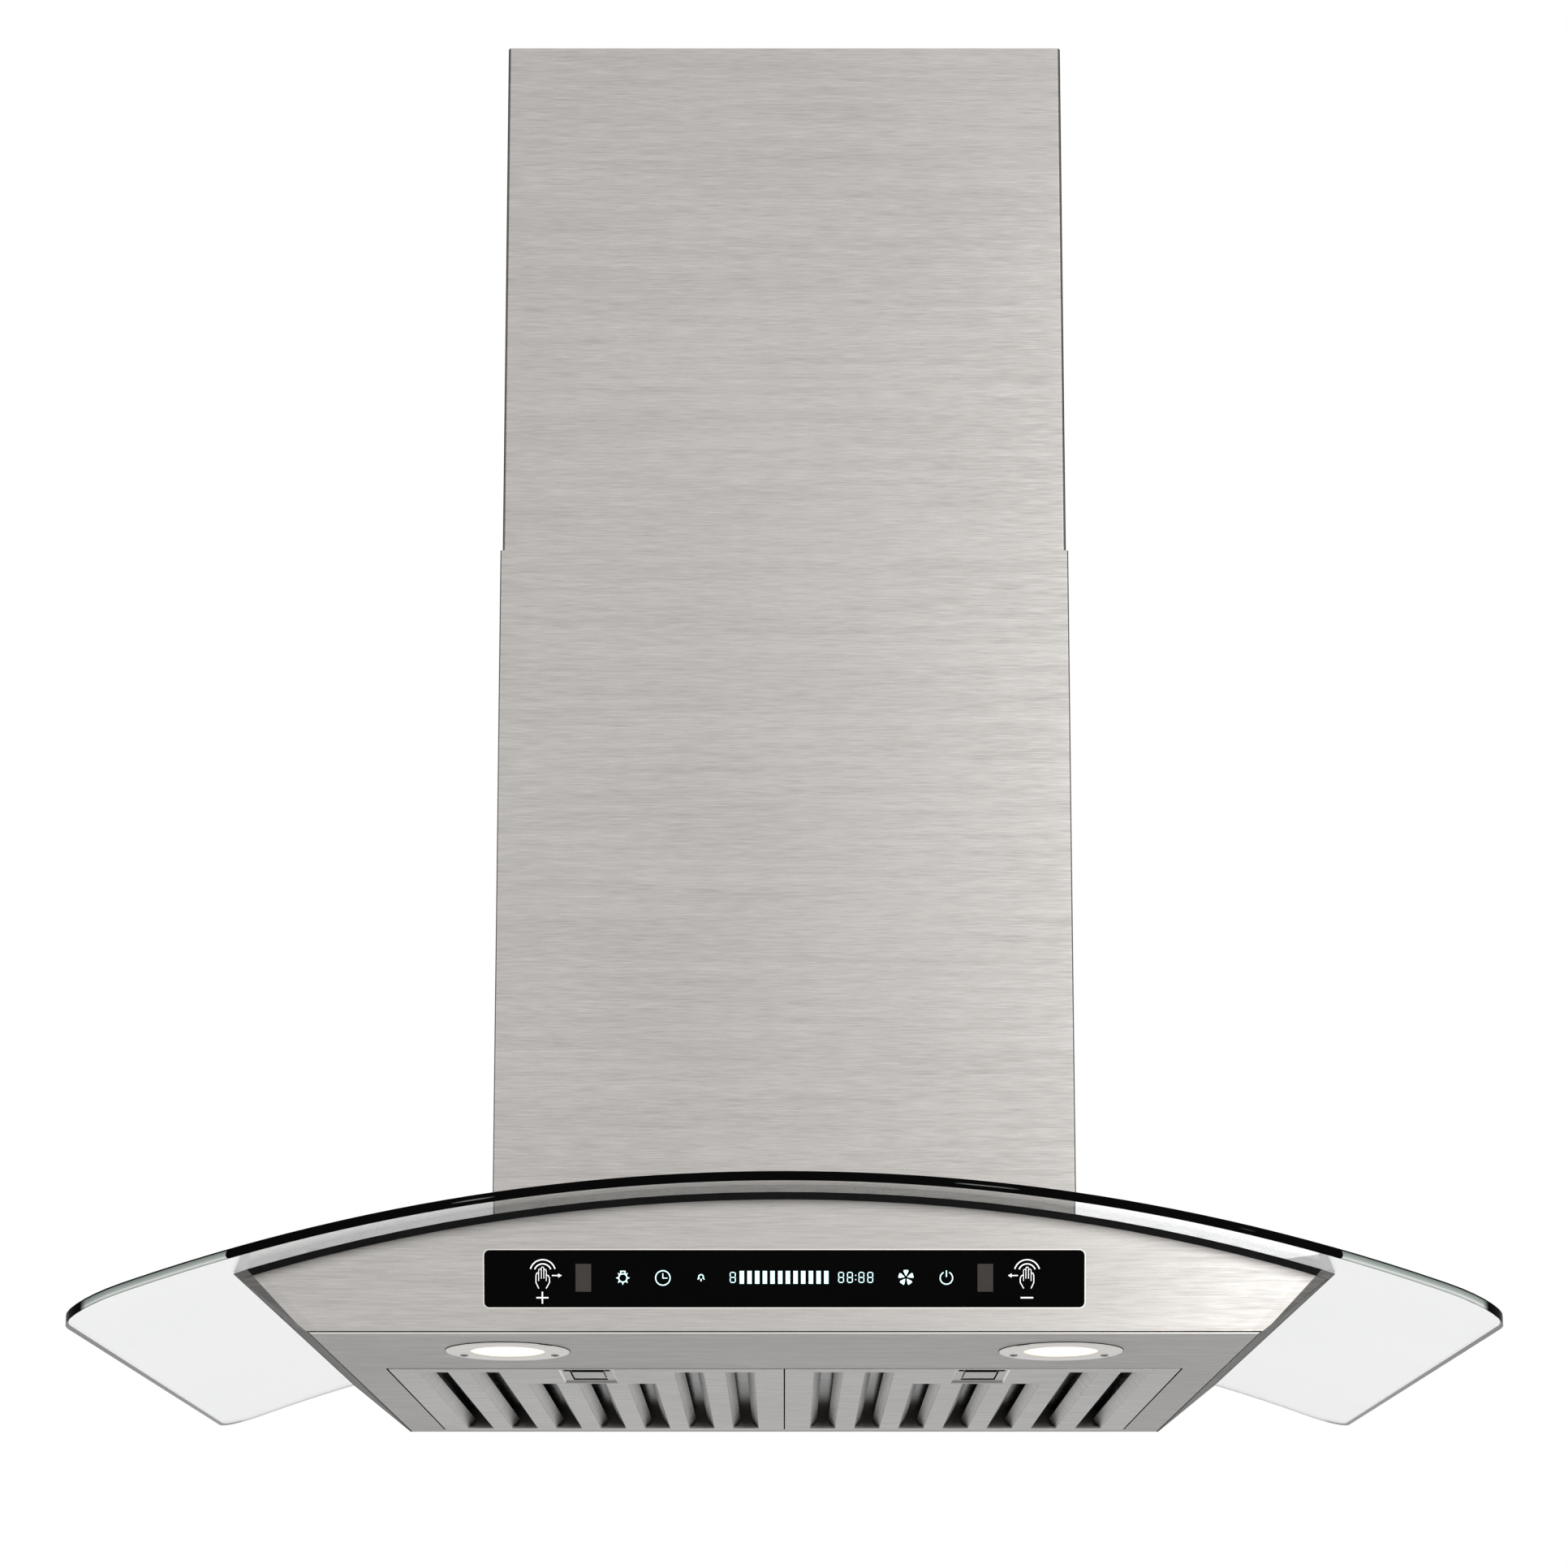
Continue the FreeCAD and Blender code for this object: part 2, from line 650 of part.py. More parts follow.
def make_power_lid():
    """Lid of the electronics box, with a lip that fits inside it."""
    half = POWER_BOX_WIDTH / 2
    low = BODY_SHEET + POWER_BOX_HEIGHT
    edge = POWER_BOX_WALL + SEAT_GAP
    lid = rounded_block(-half, half, -power_box_front, -power_box_rear, low, low + POWER_LID,
                        POWER_BOX_WALL)
    lip = box(-half + edge, half - edge, -power_box_front + edge, -power_box_rear - edge,
              low - POWER_LID, low)
    return join([lid, lip])


def make_power_board():
    """Mains circuit board on four posts, with its transformer and relays."""
    edge = POWER_BOX_WALL + POWER_BOARD_GAP
    half = POWER_BOX_WIDTH / 2 - edge
    front = power_box_front - edge
    rear = power_box_rear + edge
    floor = BODY_SHEET + POWER_BOX_WALL
    low = floor + POWER_BOARD_LIFT
    top = low + BOARD_THICKNESS
    pieces = [box(-half, half, -front, -rear, low, top)]
    middle = (front + rear) / 2
    pieces.append(box(-half / 2, 0, -middle - BUSH_R * 3, -middle + BUSH_R * 3, top,
                      top + POWER_PART_HEIGHT))
    for x in (half / 4, half / 2, half * 3 / 4):
        pieces.append(box(x, x + BUSH_R * 2, -middle, -middle + BUSH_R * 4, top,
                          top + POWER_PART_HEIGHT / 2))
    for x in (-half + BUSH_R, half - BUSH_R):
        for y in (-front + BUSH_R, -rear - BUSH_R):
            pieces.append(rod(BUSH_R / 2, Vector(x, y, floor), Vector(x, y, low)))
    return join(pieces)


def lamp_screw_points():
    """Middles of one lamp's two screws, from the lamp's own middle."""
    return [Vector(-LAMP_SCREW_SPREAD, LAMP_SCREW_BACKSET, 0),
            Vector(LAMP_SCREW_SPREAD, LAMP_SCREW_BACKSET, 0)]


def lamp_screw_holes(radius):
    """Holes for one lamp's two screws."""
    return group([rod(radius, point - Vector(0, 0, OVERRUN), point + Vector(0, 0, OVERRUN * 3))
                  for point in lamp_screw_points()])


def make_lamp_bezel():
    """Flat steel ring below the panel, with a collar that finds the panel's hole."""
    ring = rod(LAMP_BEZEL_R, Vector(0, 0, -LAMP_BEZEL_PROUD), Vector(0, 0, 0))
    ring = ring.makeFillet(LAMP_BEZEL_PROUD / 2, [ring.Edges[2]])
    outer = LAMP_HOLE_R - SLIDING_GAP
    collar = pipe(outer, outer - LAMP_COLLAR_WALL, Vector(0, 0, -LAMP_BEZEL_PROUD / 2),
                  Vector(0, 0, BODY_SHEET))
    bezel = join([ring, collar])
    bezel = bezel.cut(rod(LAMP_LENS_R, Vector(0, 0, -OVERRUN), Vector(0, 0, OVERRUN)))
    return bezel.cut(lamp_screw_holes(LAMP_SCREW_R + SCREW_CLEARANCE))


def make_lamp_lens():
    """Diffusing lens with a flange that rests on the ring."""
    window = rod(LAMP_LENS_R - SEAT_GAP, Vector(0, 0, -LAMP_BEZEL_PROUD + LAMP_LENS_INSET),
                 Vector(0, 0, LAMP_LENS_FLANGE))
    flange = rod(LAMP_LENS_FLANGE_R, Vector(0, 0, 0), Vector(0, 0, LAMP_LENS_FLANGE))
    return join([window, flange])


def make_lamp_body():
    """Finned heat sink with ears that clamp on the panel."""
    top = LAMP_LENS_FLANGE + LAMP_BODY_HEIGHT
    sink = rod(LAMP_BODY_R, Vector(0, 0, LAMP_LENS_FLANGE), Vector(0, 0, top))
    for index in range(LAMP_FIN_SLOTS):
        x = (index - (LAMP_FIN_SLOTS - 1) / 2) * LAMP_FIN_PITCH
        sink = sink.cut(box(x - LAMP_FIN_SLOT / 2, x + LAMP_FIN_SLOT / 2, -LAMP_BODY_R * 2,
                            LAMP_BODY_R * 2, top - LAMP_FIN_DEPTH, top + OVERRUN))
    ears = box(-LAMP_EAR_WIDTH / 2, LAMP_EAR_WIDTH / 2, -LAMP_EAR_REACH, LAMP_EAR_REACH,
               BODY_SHEET + SEAT_GAP, BODY_SHEET + SEAT_GAP + LAMP_EAR_THICKNESS)
    ears = ears.cut(rod(LAMP_LENS_FLANGE_R + SEAT_GAP, Vector(0, 0, 0),
                        Vector(0, 0, LAMP_LENS_FLANGE)))
    return join([sink, ears]).cut(lamp_screw_holes(LAMP_SCREW_R + SHAFT_CLEARANCE))


def make_lamp_screws():
    """The two screws that hold a lamp to its ring."""
    screws = []
    for point in lamp_screw_points():
        seat = point - Vector(0, 0, LAMP_BEZEL_PROUD)
        head = rod(LAMP_SCREW_HEAD_R, seat - Vector(0, 0, LAMP_SCREW_HEAD), seat)
        shank = rod(LAMP_SCREW_R, seat, seat + Vector(0, 0, LAMP_SCREW_LENGTH))
        screws.append(join([head, shank]))
    return group(screws)


def at_lamp(shape, side):
    """Moves a lamp piece from the origin to the left or right lamp."""
    moved = shape.copy()
    moved.translate(Vector(side * LAMP_SPREAD, -lamp_depth, 0))
    return moved


def make_canopy_gasket():
    """Rubber seal along the top edges of the body, under the glass."""
    ring = body_block(glass_low_radius, 0).cut(body_block(glass_low_radius + OVERRUN, GASKET_WIDTH))
    return ring.common(arc_sheet(gasket_low_radius, glass_low_radius + OVERRUN, GLASS_WIDTH / 2,
                                 GLASS_DEPTH, 0))


def pad_ring(low, high, hole_r):
    """A curved ring round the air way, between two arcs."""
    sheet = arc_sheet(low, high, clamp_half_width, clamp_front, CLAMP_WALL_GAP)
    ring = sheet.cut(airway(0, 0, GLASS_APEX_HEIGHT * 2))
    return ring.cut(screw_holes(hole_r))


def make_opening_gaskets():
    """The rubber rings under and over the glass, round the air way."""
    hole = GLASS_SCREW_R + SCREW_CLEARANCE
    under = pad_ring(gasket_low_radius, glass_low_radius, hole)
    under = under.cut(body_ring_zone())
    over = pad_ring(GLASS_RADIUS, clamp_low_radius, hole)
    return group([under, over])


def body_ring_zone():
    """The zone at the wall that the canopy seal already fills."""
    return box(-REACH / 2, REACH / 2, -GASKET_WIDTH, 0, 0, REACH)


def make_clamp_frame():
    """Steel ring that clamps the glass down round the air way."""
    return pad_ring(clamp_low_radius, clamp_radius, GLASS_SCREW_R + SCREW_CLEARANCE)


def make_glass_canopy():
    """Bent glass with rounded corners, the air way and the screw holes."""
    half = GLASS_WIDTH / 2
    sheet = arc_sheet(glass_low_radius, GLASS_RADIUS, half + OVERRUN, GLASS_DEPTH + OVERRUN, -OVERRUN)
    plan = box(-half, half, -GLASS_DEPTH, 0, -GLASS_APEX_HEIGHT, GLASS_APEX_HEIGHT * 2)
    upright = [edge for edge in plan.Edges
               if abs(edge.Vertexes[0].Z - edge.Vertexes[1].Z) > GLASS_APEX_HEIGHT]
    front = [edge for edge in upright if edge.CenterOfMass.y < -GLASS_DEPTH / 2]
    plan = plan.makeFillet(GLASS_FRONT_CORNER, front)
    upright = [edge for edge in plan.Edges
               if abs(edge.Vertexes[0].Z - edge.Vertexes[-1].Z) > GLASS_APEX_HEIGHT]
    rear = [edge for edge in upright if edge.CenterOfMass.y > -GLASS_REAR_CORNER / 2]
    plan = plan.makeFillet(GLASS_REAR_CORNER, rear)
    glass = sheet.common(plan)
    glass = glass.cut(airway(0, 0, GLASS_APEX_HEIGHT * 2))
    return glass.cut(screw_holes(GLASS_SCREW_R + GLASS_HOLE_MARGIN))


def make_glass_screws():
    """Screws and nuts that clamp the ring, the glass and the top plate together."""
    screws = []
    crown = arc_axis_height + clamp_radius
    below = arc_axis_height + top_plate_low_radius
    for x, depth in glass_screw_places():
        head = rod(GLASS_SCREW_HEAD_R, Vector(0, -depth, crown),
                   Vector(0, -depth, crown + GLASS_SCREW_HEAD))
        shank = rod(GLASS_SCREW_R, Vector(0, -depth, below - GLASS_NUT), Vector(0, -depth, crown))
        nut = rod(GLASS_NUT_R, Vector(0, -depth, below - GLASS_NUT), Vector(0, -depth, below))
        nut = nut.common(under_arc(top_plate_low_radius, GLASS_NUT_R * 2, depth + GLASS_NUT_R * 2,
                                   depth - GLASS_NUT_R * 2, 0))
        screws.append(on_arc(join([head, shank, nut]), x))
    return group(screws)


def make_hang_plate():
    """Plate on the wall that carries the blower housing and the hood's weight."""
    half = HANG_PLATE_WIDTH / 2
    plate = box(-half, half, -HANG_PLATE_SHEET, 0, 0, HOUSING_TOP)
    plate = plate.cut(under_arc(clamp_radius, half + OVERRUN, HANG_PLATE_SHEET + OVERRUN, -OVERRUN,
                                -OVERRUN))
    for x in (-HANG_HOLE_SPREAD, HANG_HOLE_SPREAD):
        plate = plate.cut(rod(HANG_HOLE_R, Vector(x, -OVERRUN, HANG_HEIGHT),
                              Vector(x, OVERRUN, HANG_HEIGHT)))
    return plate


def housing_screw_points():
    """Middles of the four screws in the housing's top plate."""
    reach = HOUSING_WIDTH / 2 - HOUSING_SCREW_INSET
    front = HOUSING_DEPTH - HOUSING_SCREW_INSET
    rear = HANG_PLATE_SHEET + HOUSING_SCREW_INSET
    return [Vector(x, -y, HOUSING_TOP) for x in (-reach, reach) for y in (front, rear)]


def make_housing():
    """Front and side walls round the blower, with a flange at the top."""
    half = HOUSING_WIDTH / 2
    sheet = HOUSING_SHEET
    outer = box(-half, half, -HOUSING_DEPTH, -HANG_PLATE_SHEET, 0, HOUSING_TOP)
    inner = box(-half + sheet, half - sheet, -HOUSING_DEPTH + sheet, OVERRUN, -OVERRUN,
                HOUSING_TOP - sheet)
    mouth = box(-half + HOUSING_FLANGE, half - HOUSING_FLANGE, -HOUSING_DEPTH + HOUSING_FLANGE,
                OVERRUN, -OVERRUN, HOUSING_TOP + OVERRUN)
    walls = outer.cut(inner).cut(mouth)
    walls = walls.cut(under_arc(clamp_radius, half + OVERRUN, HOUSING_DEPTH + OVERRUN, -OVERRUN,
                                -OVERRUN))
    for point in housing_screw_points():
        walls = walls.cut(rod(HOUSING_SCREW_R + SHAFT_CLEARANCE, point - Vector(0, 0, OVERRUN),
                              point + Vector(0, 0, OVERRUN)))
    return walls


def make_housing_top():
    """Top plate of the housing, with the outlet and the cable gland's hole."""
    half = HOUSING_WIDTH / 2
    plate = box(-half, half, -HOUSING_DEPTH, -HANG_PLATE_SHEET, HOUSING_TOP, collar_low)
    outlet = Vector(0, -collar_depth, 0)
    plate = plate.cut(rod(collar_bore_r, outlet, outlet + Vector(0, 0, HOUSING_TOP * 2)))
    gland = Vector(GLAND_X, -GLAND_DEPTH, 0)
    plate = plate.cut(rod(GLAND_THREAD_R + SCREW_CLEARANCE, gland,
                          gland + Vector(0, 0, HOUSING_TOP * 2)))
    for point in housing_screw_points():
        plate = plate.cut(rod(HOUSING_SCREW_R + SHAFT_CLEARANCE, point - Vector(0, 0, OVERRUN),
                              point + Vector(0, 0, OVERRUN)))
    return plate


def make_housing_screws():
    """Four screws through the housing's top plate into its flange."""
    screws = []
    for point in housing_screw_points():
        seat = Vector(point.x, point.y, collar_low)
        head = rod(HOUSING_SCREW_HEAD_R, seat, seat + Vector(0, 0, HOUSING_SCREW_HEAD))
        shank = rod(HOUSING_SCREW_R, seat - Vector(0, 0, HOUSING_SCREW_LENGTH), seat)
        screws.append(join([head, shank]))
    return group(screws)


def volute_profile(grown, lift):
    """Closed outline of the scroll: four quarter arcs of growing radius and an upright mouth."""
    step = VOLUTE_R_STEP / 2
    y = -BLOWER_AXIS_DEPTH
    z = BLOWER_AXIS_HEIGHT
    centres = [Vector(0, y + step, z + step), Vector(0, y + step, z - step),
               Vector(0, y - step, z - step), Vector(0, y - step, z + step)]
    mouth = -mouth_rear + grown
    tongue = math.degrees(math.acos((mouth - centres[0].y) / (VOLUTE_R_FIRST + grown)))
    starts = [tongue, 90.0, 0.0, -90.0]
    ends = [90.0, 0.0, -90.0, -180.0]

    def on_circle(turn, angle):
        radius = volute_radii[turn] + grown
        turned = math.radians(angle)
        return centres[turn] + Vector(0, math.cos(turned), math.sin(turned)) * radius

    edges = []
    for turn in range(4):
        middle = (starts[turn] + ends[turn]) / 2
        edges.append(Part.Arc(on_circle(turn, starts[turn]), on_circle(turn, middle),
                              on_circle(turn, ends[turn])).toShape())
    last = on_circle(3, ends[3])
    first = on_circle(0, starts[0])
    top_front = Vector(0, last.y, HOUSING_TOP + lift)
    top_rear = Vector(0, mouth, HOUSING_TOP + lift)
    edges.append(Part.makeLine(last, top_front))
    edges.append(Part.makeLine(top_front, top_rear))
    edges.append(Part.makeLine(top_rear, first))
    return Part.Face(Part.Wire(edges))


def volute_solid(grown, lift, half_width):
    """The scroll's outline drawn out sideways."""
    face = volute_profile(grown, lift)
    face.translate(Vector(-half_width, 0, 0))
    return face.extrude(Vector(half_width * 2, 0, 0))


def make_volute_shell():
    """Sheet bent round the scroll, open at the top."""
    outer = volute_solid(VOLUTE_SHEET, 0, VOLUTE_WIDTH / 2)
    return outer.cut(volute_solid(0, OVERRUN, VOLUTE_WIDTH / 2 + OVERRUN))


def make_volute_side():
    """Right side plate of the scroll, with its inlet and the inlet's turned lip."""
    inner = VOLUTE_WIDTH / 2
    face = volute_profile(VOLUTE_SHEET, 0)
    face.translate(Vector(inner, 0, 0))
    plate = face.extrude(Vector(VOLUTE_SHEET, 0, 0))
    axis = Vector(inner, -BLOWER_AXIS_DEPTH, BLOWER_AXIS_HEIGHT)
    lip_end = Vector(VOLUTE_SHEET + INLET_LIP_LENGTH, 0, 0)
    lip = pipe(INLET_R + INLET_LIP, INLET_R, axis, axis + lip_end)
    bore = rod(INLET_R, axis - Vector(OVERRUN, 0, 0), axis + lip_end)
    flange = box(inner, inner + VOLUTE_SHEET + VOLUTE_FLANGE, -mouth_front, -mouth_rear,
                 HOUSING_TOP - VOLUTE_SHEET, HOUSING_TOP)
    return join([plate, lip, flange]).cut(bore)


def on_axis(x):
    """A point on the blower's axis."""
    return Vector(x, -BLOWER_AXIS_DEPTH, BLOWER_AXIS_HEIGHT)


def make_impeller():
    """Double inlet wheel: a disc with its hub, two end rings, and blades on both sides of the disc."""
    half = IMPELLER_WIDTH / 2
    disc = rod(IMPELLER_R, on_axis(-IMPELLER_DISC / 2), on_axis(IMPELLER_DISC / 2))
    hub = rod(HUB_R, on_axis(-HUB_LENGTH / 2), on_axis(HUB_LENGTH / 2))
    core = join([disc, hub]).cut(rod(SHAFT_R, on_axis(-half), on_axis(half)))
    ring_bore = IMPELLER_R - IMPELLER_RING_DEPTH
    rings = [pipe(IMPELLER_R, ring_bore, on_axis(-half), on_axis(-half + IMPELLER_RING)),
             pipe(IMPELLER_R, ring_bore, on_axis(half - IMPELLER_RING), on_axis(half))]
    drum = rod(IMPELLER_R, on_axis(-half), on_axis(half))
    middle = IMPELLER_R - BLADE_LENGTH / 2
    near = IMPELLER_DISC / 2
    far = half - IMPELLER_RING
    blades = []
    for index in range(BLADE_COUNT):
        for start, end in ((-far, -near), (near, far)):
            blade = box(start, end, -BLADE_THICKNESS / 2, BLADE_THICKNESS / 2,
                        -BLADE_LENGTH / 2, BLADE_LENGTH / 2)
            blade.rotate(Vector(0, 0, 0), Vector(1, 0, 0), BLADE_ANGLE)
            blade.translate(Vector(0, 0, middle))
            blade.rotate(Vector(0, 0, 0), Vector(1, 0, 0), 360.0 / BLADE_COUNT * index)
            blade.translate(on_axis(0))
            blades.extend(blade.common(drum).Solids)
    return group([core] + rings + blades)


def make_motor_shaft():
    """Shaft that carries the wheel and turns in the motor."""
    return rod(SHAFT_R, on_axis(-SHAFT_END), on_axis(MOTOR_END + MOTOR_CAP_LENGTH / 2))


def make_motor():
    """Motor can with its bearing cap, bored for the shaft."""
    can = rod(MOTOR_R, on_axis(MOTOR_START), on_axis(MOTOR_END))
    cap = rod(MOTOR_CAP_R, on_axis(MOTOR_END), on_axis(MOTOR_END + MOTOR_CAP_LENGTH))
    bore = rod(SHAFT_R + SHAFT_CLEARANCE, on_axis(0),
               on_axis(MOTOR_END + MOTOR_CAP_LENGTH / 2 + SEAT_GAP))
    return join([can, cap]).cut(bore)


def bush_directions():
    """Directions from the motor's axis to its three rubber bushes."""
    directions = []
    for angle in (90.0, 210.0, 330.0):
        turned = math.radians(angle)
        directions.append(Vector(0, math.cos(turned), math.sin(turned)))
    return directions


def make_motor_bracket():
    """Three armed ring that holds the motor to the scroll's side."""
    start = on_axis(BRACKET_START)
    end = on_axis(BRACKET_START + BRACKET_THICKNESS)
    pieces = [rod(MOTOR_R + BRACKET_RING, start, end)]
    for direction in bush_directions():
        length = BRACKET_BUSH_R + BUSH_R
        arm = box(BRACKET_START, BRACKET_START + BRACKET_THICKNESS, -BRACKET_ARM_WIDTH / 2,
                  BRACKET_ARM_WIDTH / 2, 0, length)
        angle = math.degrees(math.atan2(direction.z, direction.y)) - 90.0
        arm.rotate(Vector(0, 0, 0), Vector(1, 0, 0), angle)
        arm.translate(on_axis(0))
        pieces.append(arm)
    return join(pieces).cut(rod(MOTOR_R, on_axis(0), on_axis(MOTOR_END * 2)))


def make_motor_bushes():
    """Rubber bushes between the bracket's arms and the scroll's side."""
    low = VOLUTE_WIDTH / 2 + VOLUTE_SHEET
    return group([rod(BUSH_R, on_axis(low) + way * BRACKET_BUSH_R,
                      on_axis(BRACKET_START) + way * BRACKET_BUSH_R)
                  for way in bush_directions()])


def make_capacitor():
    """Start capacitor and its strap on the housing's right wall."""
    wall = HOUSING_WIDTH / 2 - HOUSING_SHEET
    x = wall - STRAP_THICKNESS - CAPACITOR_R
    foot = Vector(x, -CAPACITOR_DEPTH, CAPACITOR_LOW)
    can = rod(CAPACITOR_R, foot, foot + Vector(0, 0, CAPACITOR_LENGTH))
    low = CAPACITOR_LOW + (CAPACITOR_LENGTH - STRAP_WIDTH) / 2
    band_low = Vector(x, -CAPACITOR_DEPTH, low)
    band = pipe(CAPACITOR_R + STRAP_THICKNESS, CAPACITOR_R, band_low,
                band_low + Vector(0, 0, STRAP_WIDTH))
    reach = CAPACITOR_R * 2
    tail = box(wall - STRAP_THICKNESS, wall, -CAPACITOR_DEPTH, -CAPACITOR_DEPTH + reach, low,
               low + STRAP_WIDTH)
    return join([can, band, tail])


def collar_point(height):
    """A point on the outlet collar's axis."""
    return Vector(0, -collar_depth, height)


def make_outlet_collar():
    """Round duct spigot with a flange and the seat that the damper closes on."""
    wall = pipe(COLLAR_R, collar_bore_r, collar_point(collar_low),
                collar_point(collar_low + COLLAR_HEIGHT))
    flange = pipe(COLLAR_R + COLLAR_FLANGE, collar_bore_r, collar_point(collar_low),
                  collar_point(collar_low + COLLAR_FLANGE_THICKNESS))
    seat_high = damper_height - DAMPER_FLAP / 2 - SEAT_GAP
    seat = pipe(COLLAR_R, collar_bore_r - DAMPER_SEAT_WIDTH, collar_point(seat_high - DAMPER_SEAT),
                collar_point(seat_high))
    seat = seat.cut(box(-COLLAR_R, COLLAR_R, -collar_depth - DAMPER_NOTCH,
                        -collar_depth + DAMPER_NOTCH, 0, HOUSING_TOP * 2))
    return join([wall, flange, seat])


def make_damper_pins():
    """The two hinge pins across the collar."""
    pins = []
    for side in (-1, 1):
        y = -collar_depth + side * DAMPER_PIN_SPREAD
        half = math.sqrt(collar_bore_r ** 2 - DAMPER_PIN_SPREAD ** 2) - SEAT_GAP / 2
        pins.append(rod(DAMPER_PIN_R, Vector(-half, y, damper_height),
                        Vector(half, y, damper_height)))
    return group(pins)


def make_damper_flap(side):
    """Half round flap with its rolled barrel, in front of or behind the middle."""
    pin_y = -collar_depth + side * DAMPER_PIN_SPREAD
    low = damper_height - DAMPER_FLAP / 2
    disc = rod(flap_r, collar_point(low), collar_point(low + DAMPER_FLAP))
    keep = box(-flap_r, flap_r, pin_y, pin_y + side * COLLAR_R * 2, 0, HOUSING_TOP * 2)
    half = flap_r - DAMPER_BARREL_END
    strip = box(-half, half, pin_y, pin_y + side * COLLAR_R * 2, 0, HOUSING_TOP * 2)
    near = box(-flap_r, flap_r, pin_y, pin_y + side * DAMPER_NOTCH, 0, HOUSING_TOP * 2)
    plate = disc.common(keep)
    plate = plate.cut(near).fuse(plate.common(strip))
    bore = DAMPER_PIN_R + SHAFT_CLEARANCE
    start = Vector(-half, pin_y, damper_height)
    end = Vector(half, pin_y, damper_height)
    barrel = rod(bore + DAMPER_BARREL_WALL, start, end)
    through = Vector(OVERRUN, 0, 0)
    return join([plate, barrel]).cut(rod(bore, start - through, end + through))


def make_cable_gland():
    """Cable gland in the housing's top plate."""
    foot = Vector(GLAND_X, -GLAND_DEPTH, HOUSING_TOP - GLAND_BELOW)
    seat = Vector(GLAND_X, -GLAND_DEPTH, collar_low)
    thread = rod(GLAND_THREAD_R, foot, seat + Vector(0, 0, GLAND_FLANGE + GLAND_ABOVE))
    nut = rod(GLAND_FLANGE_R, seat, seat + Vector(0, 0, GLAND_FLANGE))
    bore = rod(GLAND_BORE_R, foot - Vector(0, 0, OVERRUN),
               seat + Vector(0, 0, GLAND_FLANGE + GLAND_ABOVE + OVERRUN))
    return join([thread, nut]).cut(bore)


def cover_walls(inset, low, high):
    """A chimney cover: a front, two sides and a return at each rear edge."""
    half = CHIMNEY_WIDTH / 2 - inset
    front = CHIMNEY_DEPTH - inset
    rear = inset
    sheet = CHIMNEY_SHEET
    outer = box(-half, half, -front, -rear, low, high)
    inner = box(-half + sheet, half - sheet, -front + sheet, -rear - sheet, low - OVERRUN,
                high + OVERRUN)
    upright = [edge for edge in outer.Edges
               if abs(edge.Vertexes[0].Z - edge.Vertexes[1].Z) > (high - low) / 2]
    outer = outer.makeFillet(CHIMNEY_BEND, upright)
    bends = [edge for edge in inner.Edges
             if abs(edge.Vertexes[0].Z - edge.Vertexes[1].Z) > (high - low) / 2]
    inner = inner.makeFillet(CHIMNEY_BEND - sheet, bends)
    gap = half - CHIMNEY_RETURN
    mouth = box(-gap, gap, -rear - sheet - OVERRUN, OVERRUN, low - OVERRUN, high + OVERRUN)
    return outer.cut(inner).cut(mouth)


def side_holes(depth, height):
    """Two screw holes through a cover's side walls."""
    return rod(COVER_SCREW_R + SCREW_CLEARANCE, Vector(-CHIMNEY_WIDTH, -depth, height),
               Vector(CHIMNEY_WIDTH, -depth, height))


def make_lower_cover():
    """Lower chimney cover, cut to the glass's curve at its foot."""
    cover = cover_walls(0, arc_height(GLASS_RADIUS, CHIMNEY_WIDTH / 2), LOWER_COVER_TOP)
    cover = cover.cut(under_arc(GLASS_RADIUS + SEAT_GAP, CHIMNEY_WIDTH / 2 + OVERRUN,
                                CHIMNEY_DEPTH + OVERRUN, -OVERRUN, 0))
    return cover.cut(side_holes(FOOT_DEPTH, FOOT_HOLE_HEIGHT))


def make_upper_cover():
    """Upper chimney cover, which slides inside the lower one."""
    cover = cover_walls(upper_inset, UPPER_COVER_TOP - UPPER_COVER_HEIGHT, UPPER_COVER_TOP)
    return cover.cut(side_holes(ceiling_screw_depth, ceiling_screw_height))


def cover_screws(half_width, depth, height):
    """A screw through each side wall of a cover."""
    seat = Vector(half_width, -depth, height)
    head = rod(COVER_SCREW_HEAD_R, seat, seat + Vector(COVER_SCREW_HEAD, 0, 0))
    shank = rod(COVER_SCREW_R, seat - Vector(COVER_SCREW_LENGTH, 0, 0), seat)
    right = join([head, shank])
    return group([right, mirrored(right)])


def make_chimney_feet():
    """Angle brackets on the clamp ring that hold the lower cover's sides."""
    outer = CHIMNEY_WIDTH / 2 - CHIMNEY_SHEET - SEAT_GAP
    front = FOOT_DEPTH + FOOT_WIDTH / 2
    rear = FOOT_DEPTH - FOOT_WIDTH / 2
    base = arc_sheet(clamp_radius, clamp_radius + FOOT_SHEET, outer, front, rear)
    base = base.common(box(outer - FOOT_BASE, outer, -front, -rear, 0, FOOT_TOP))
    low = arc_height(clamp_radius, outer)
    leg = box(outer - FOOT_SHEET, outer, -front, -rear, low, FOOT_TOP)
    right = join([base, leg]).cut(side_holes(FOOT_DEPTH, FOOT_HOLE_HEIGHT))
    return group([right, mirrored(right)])


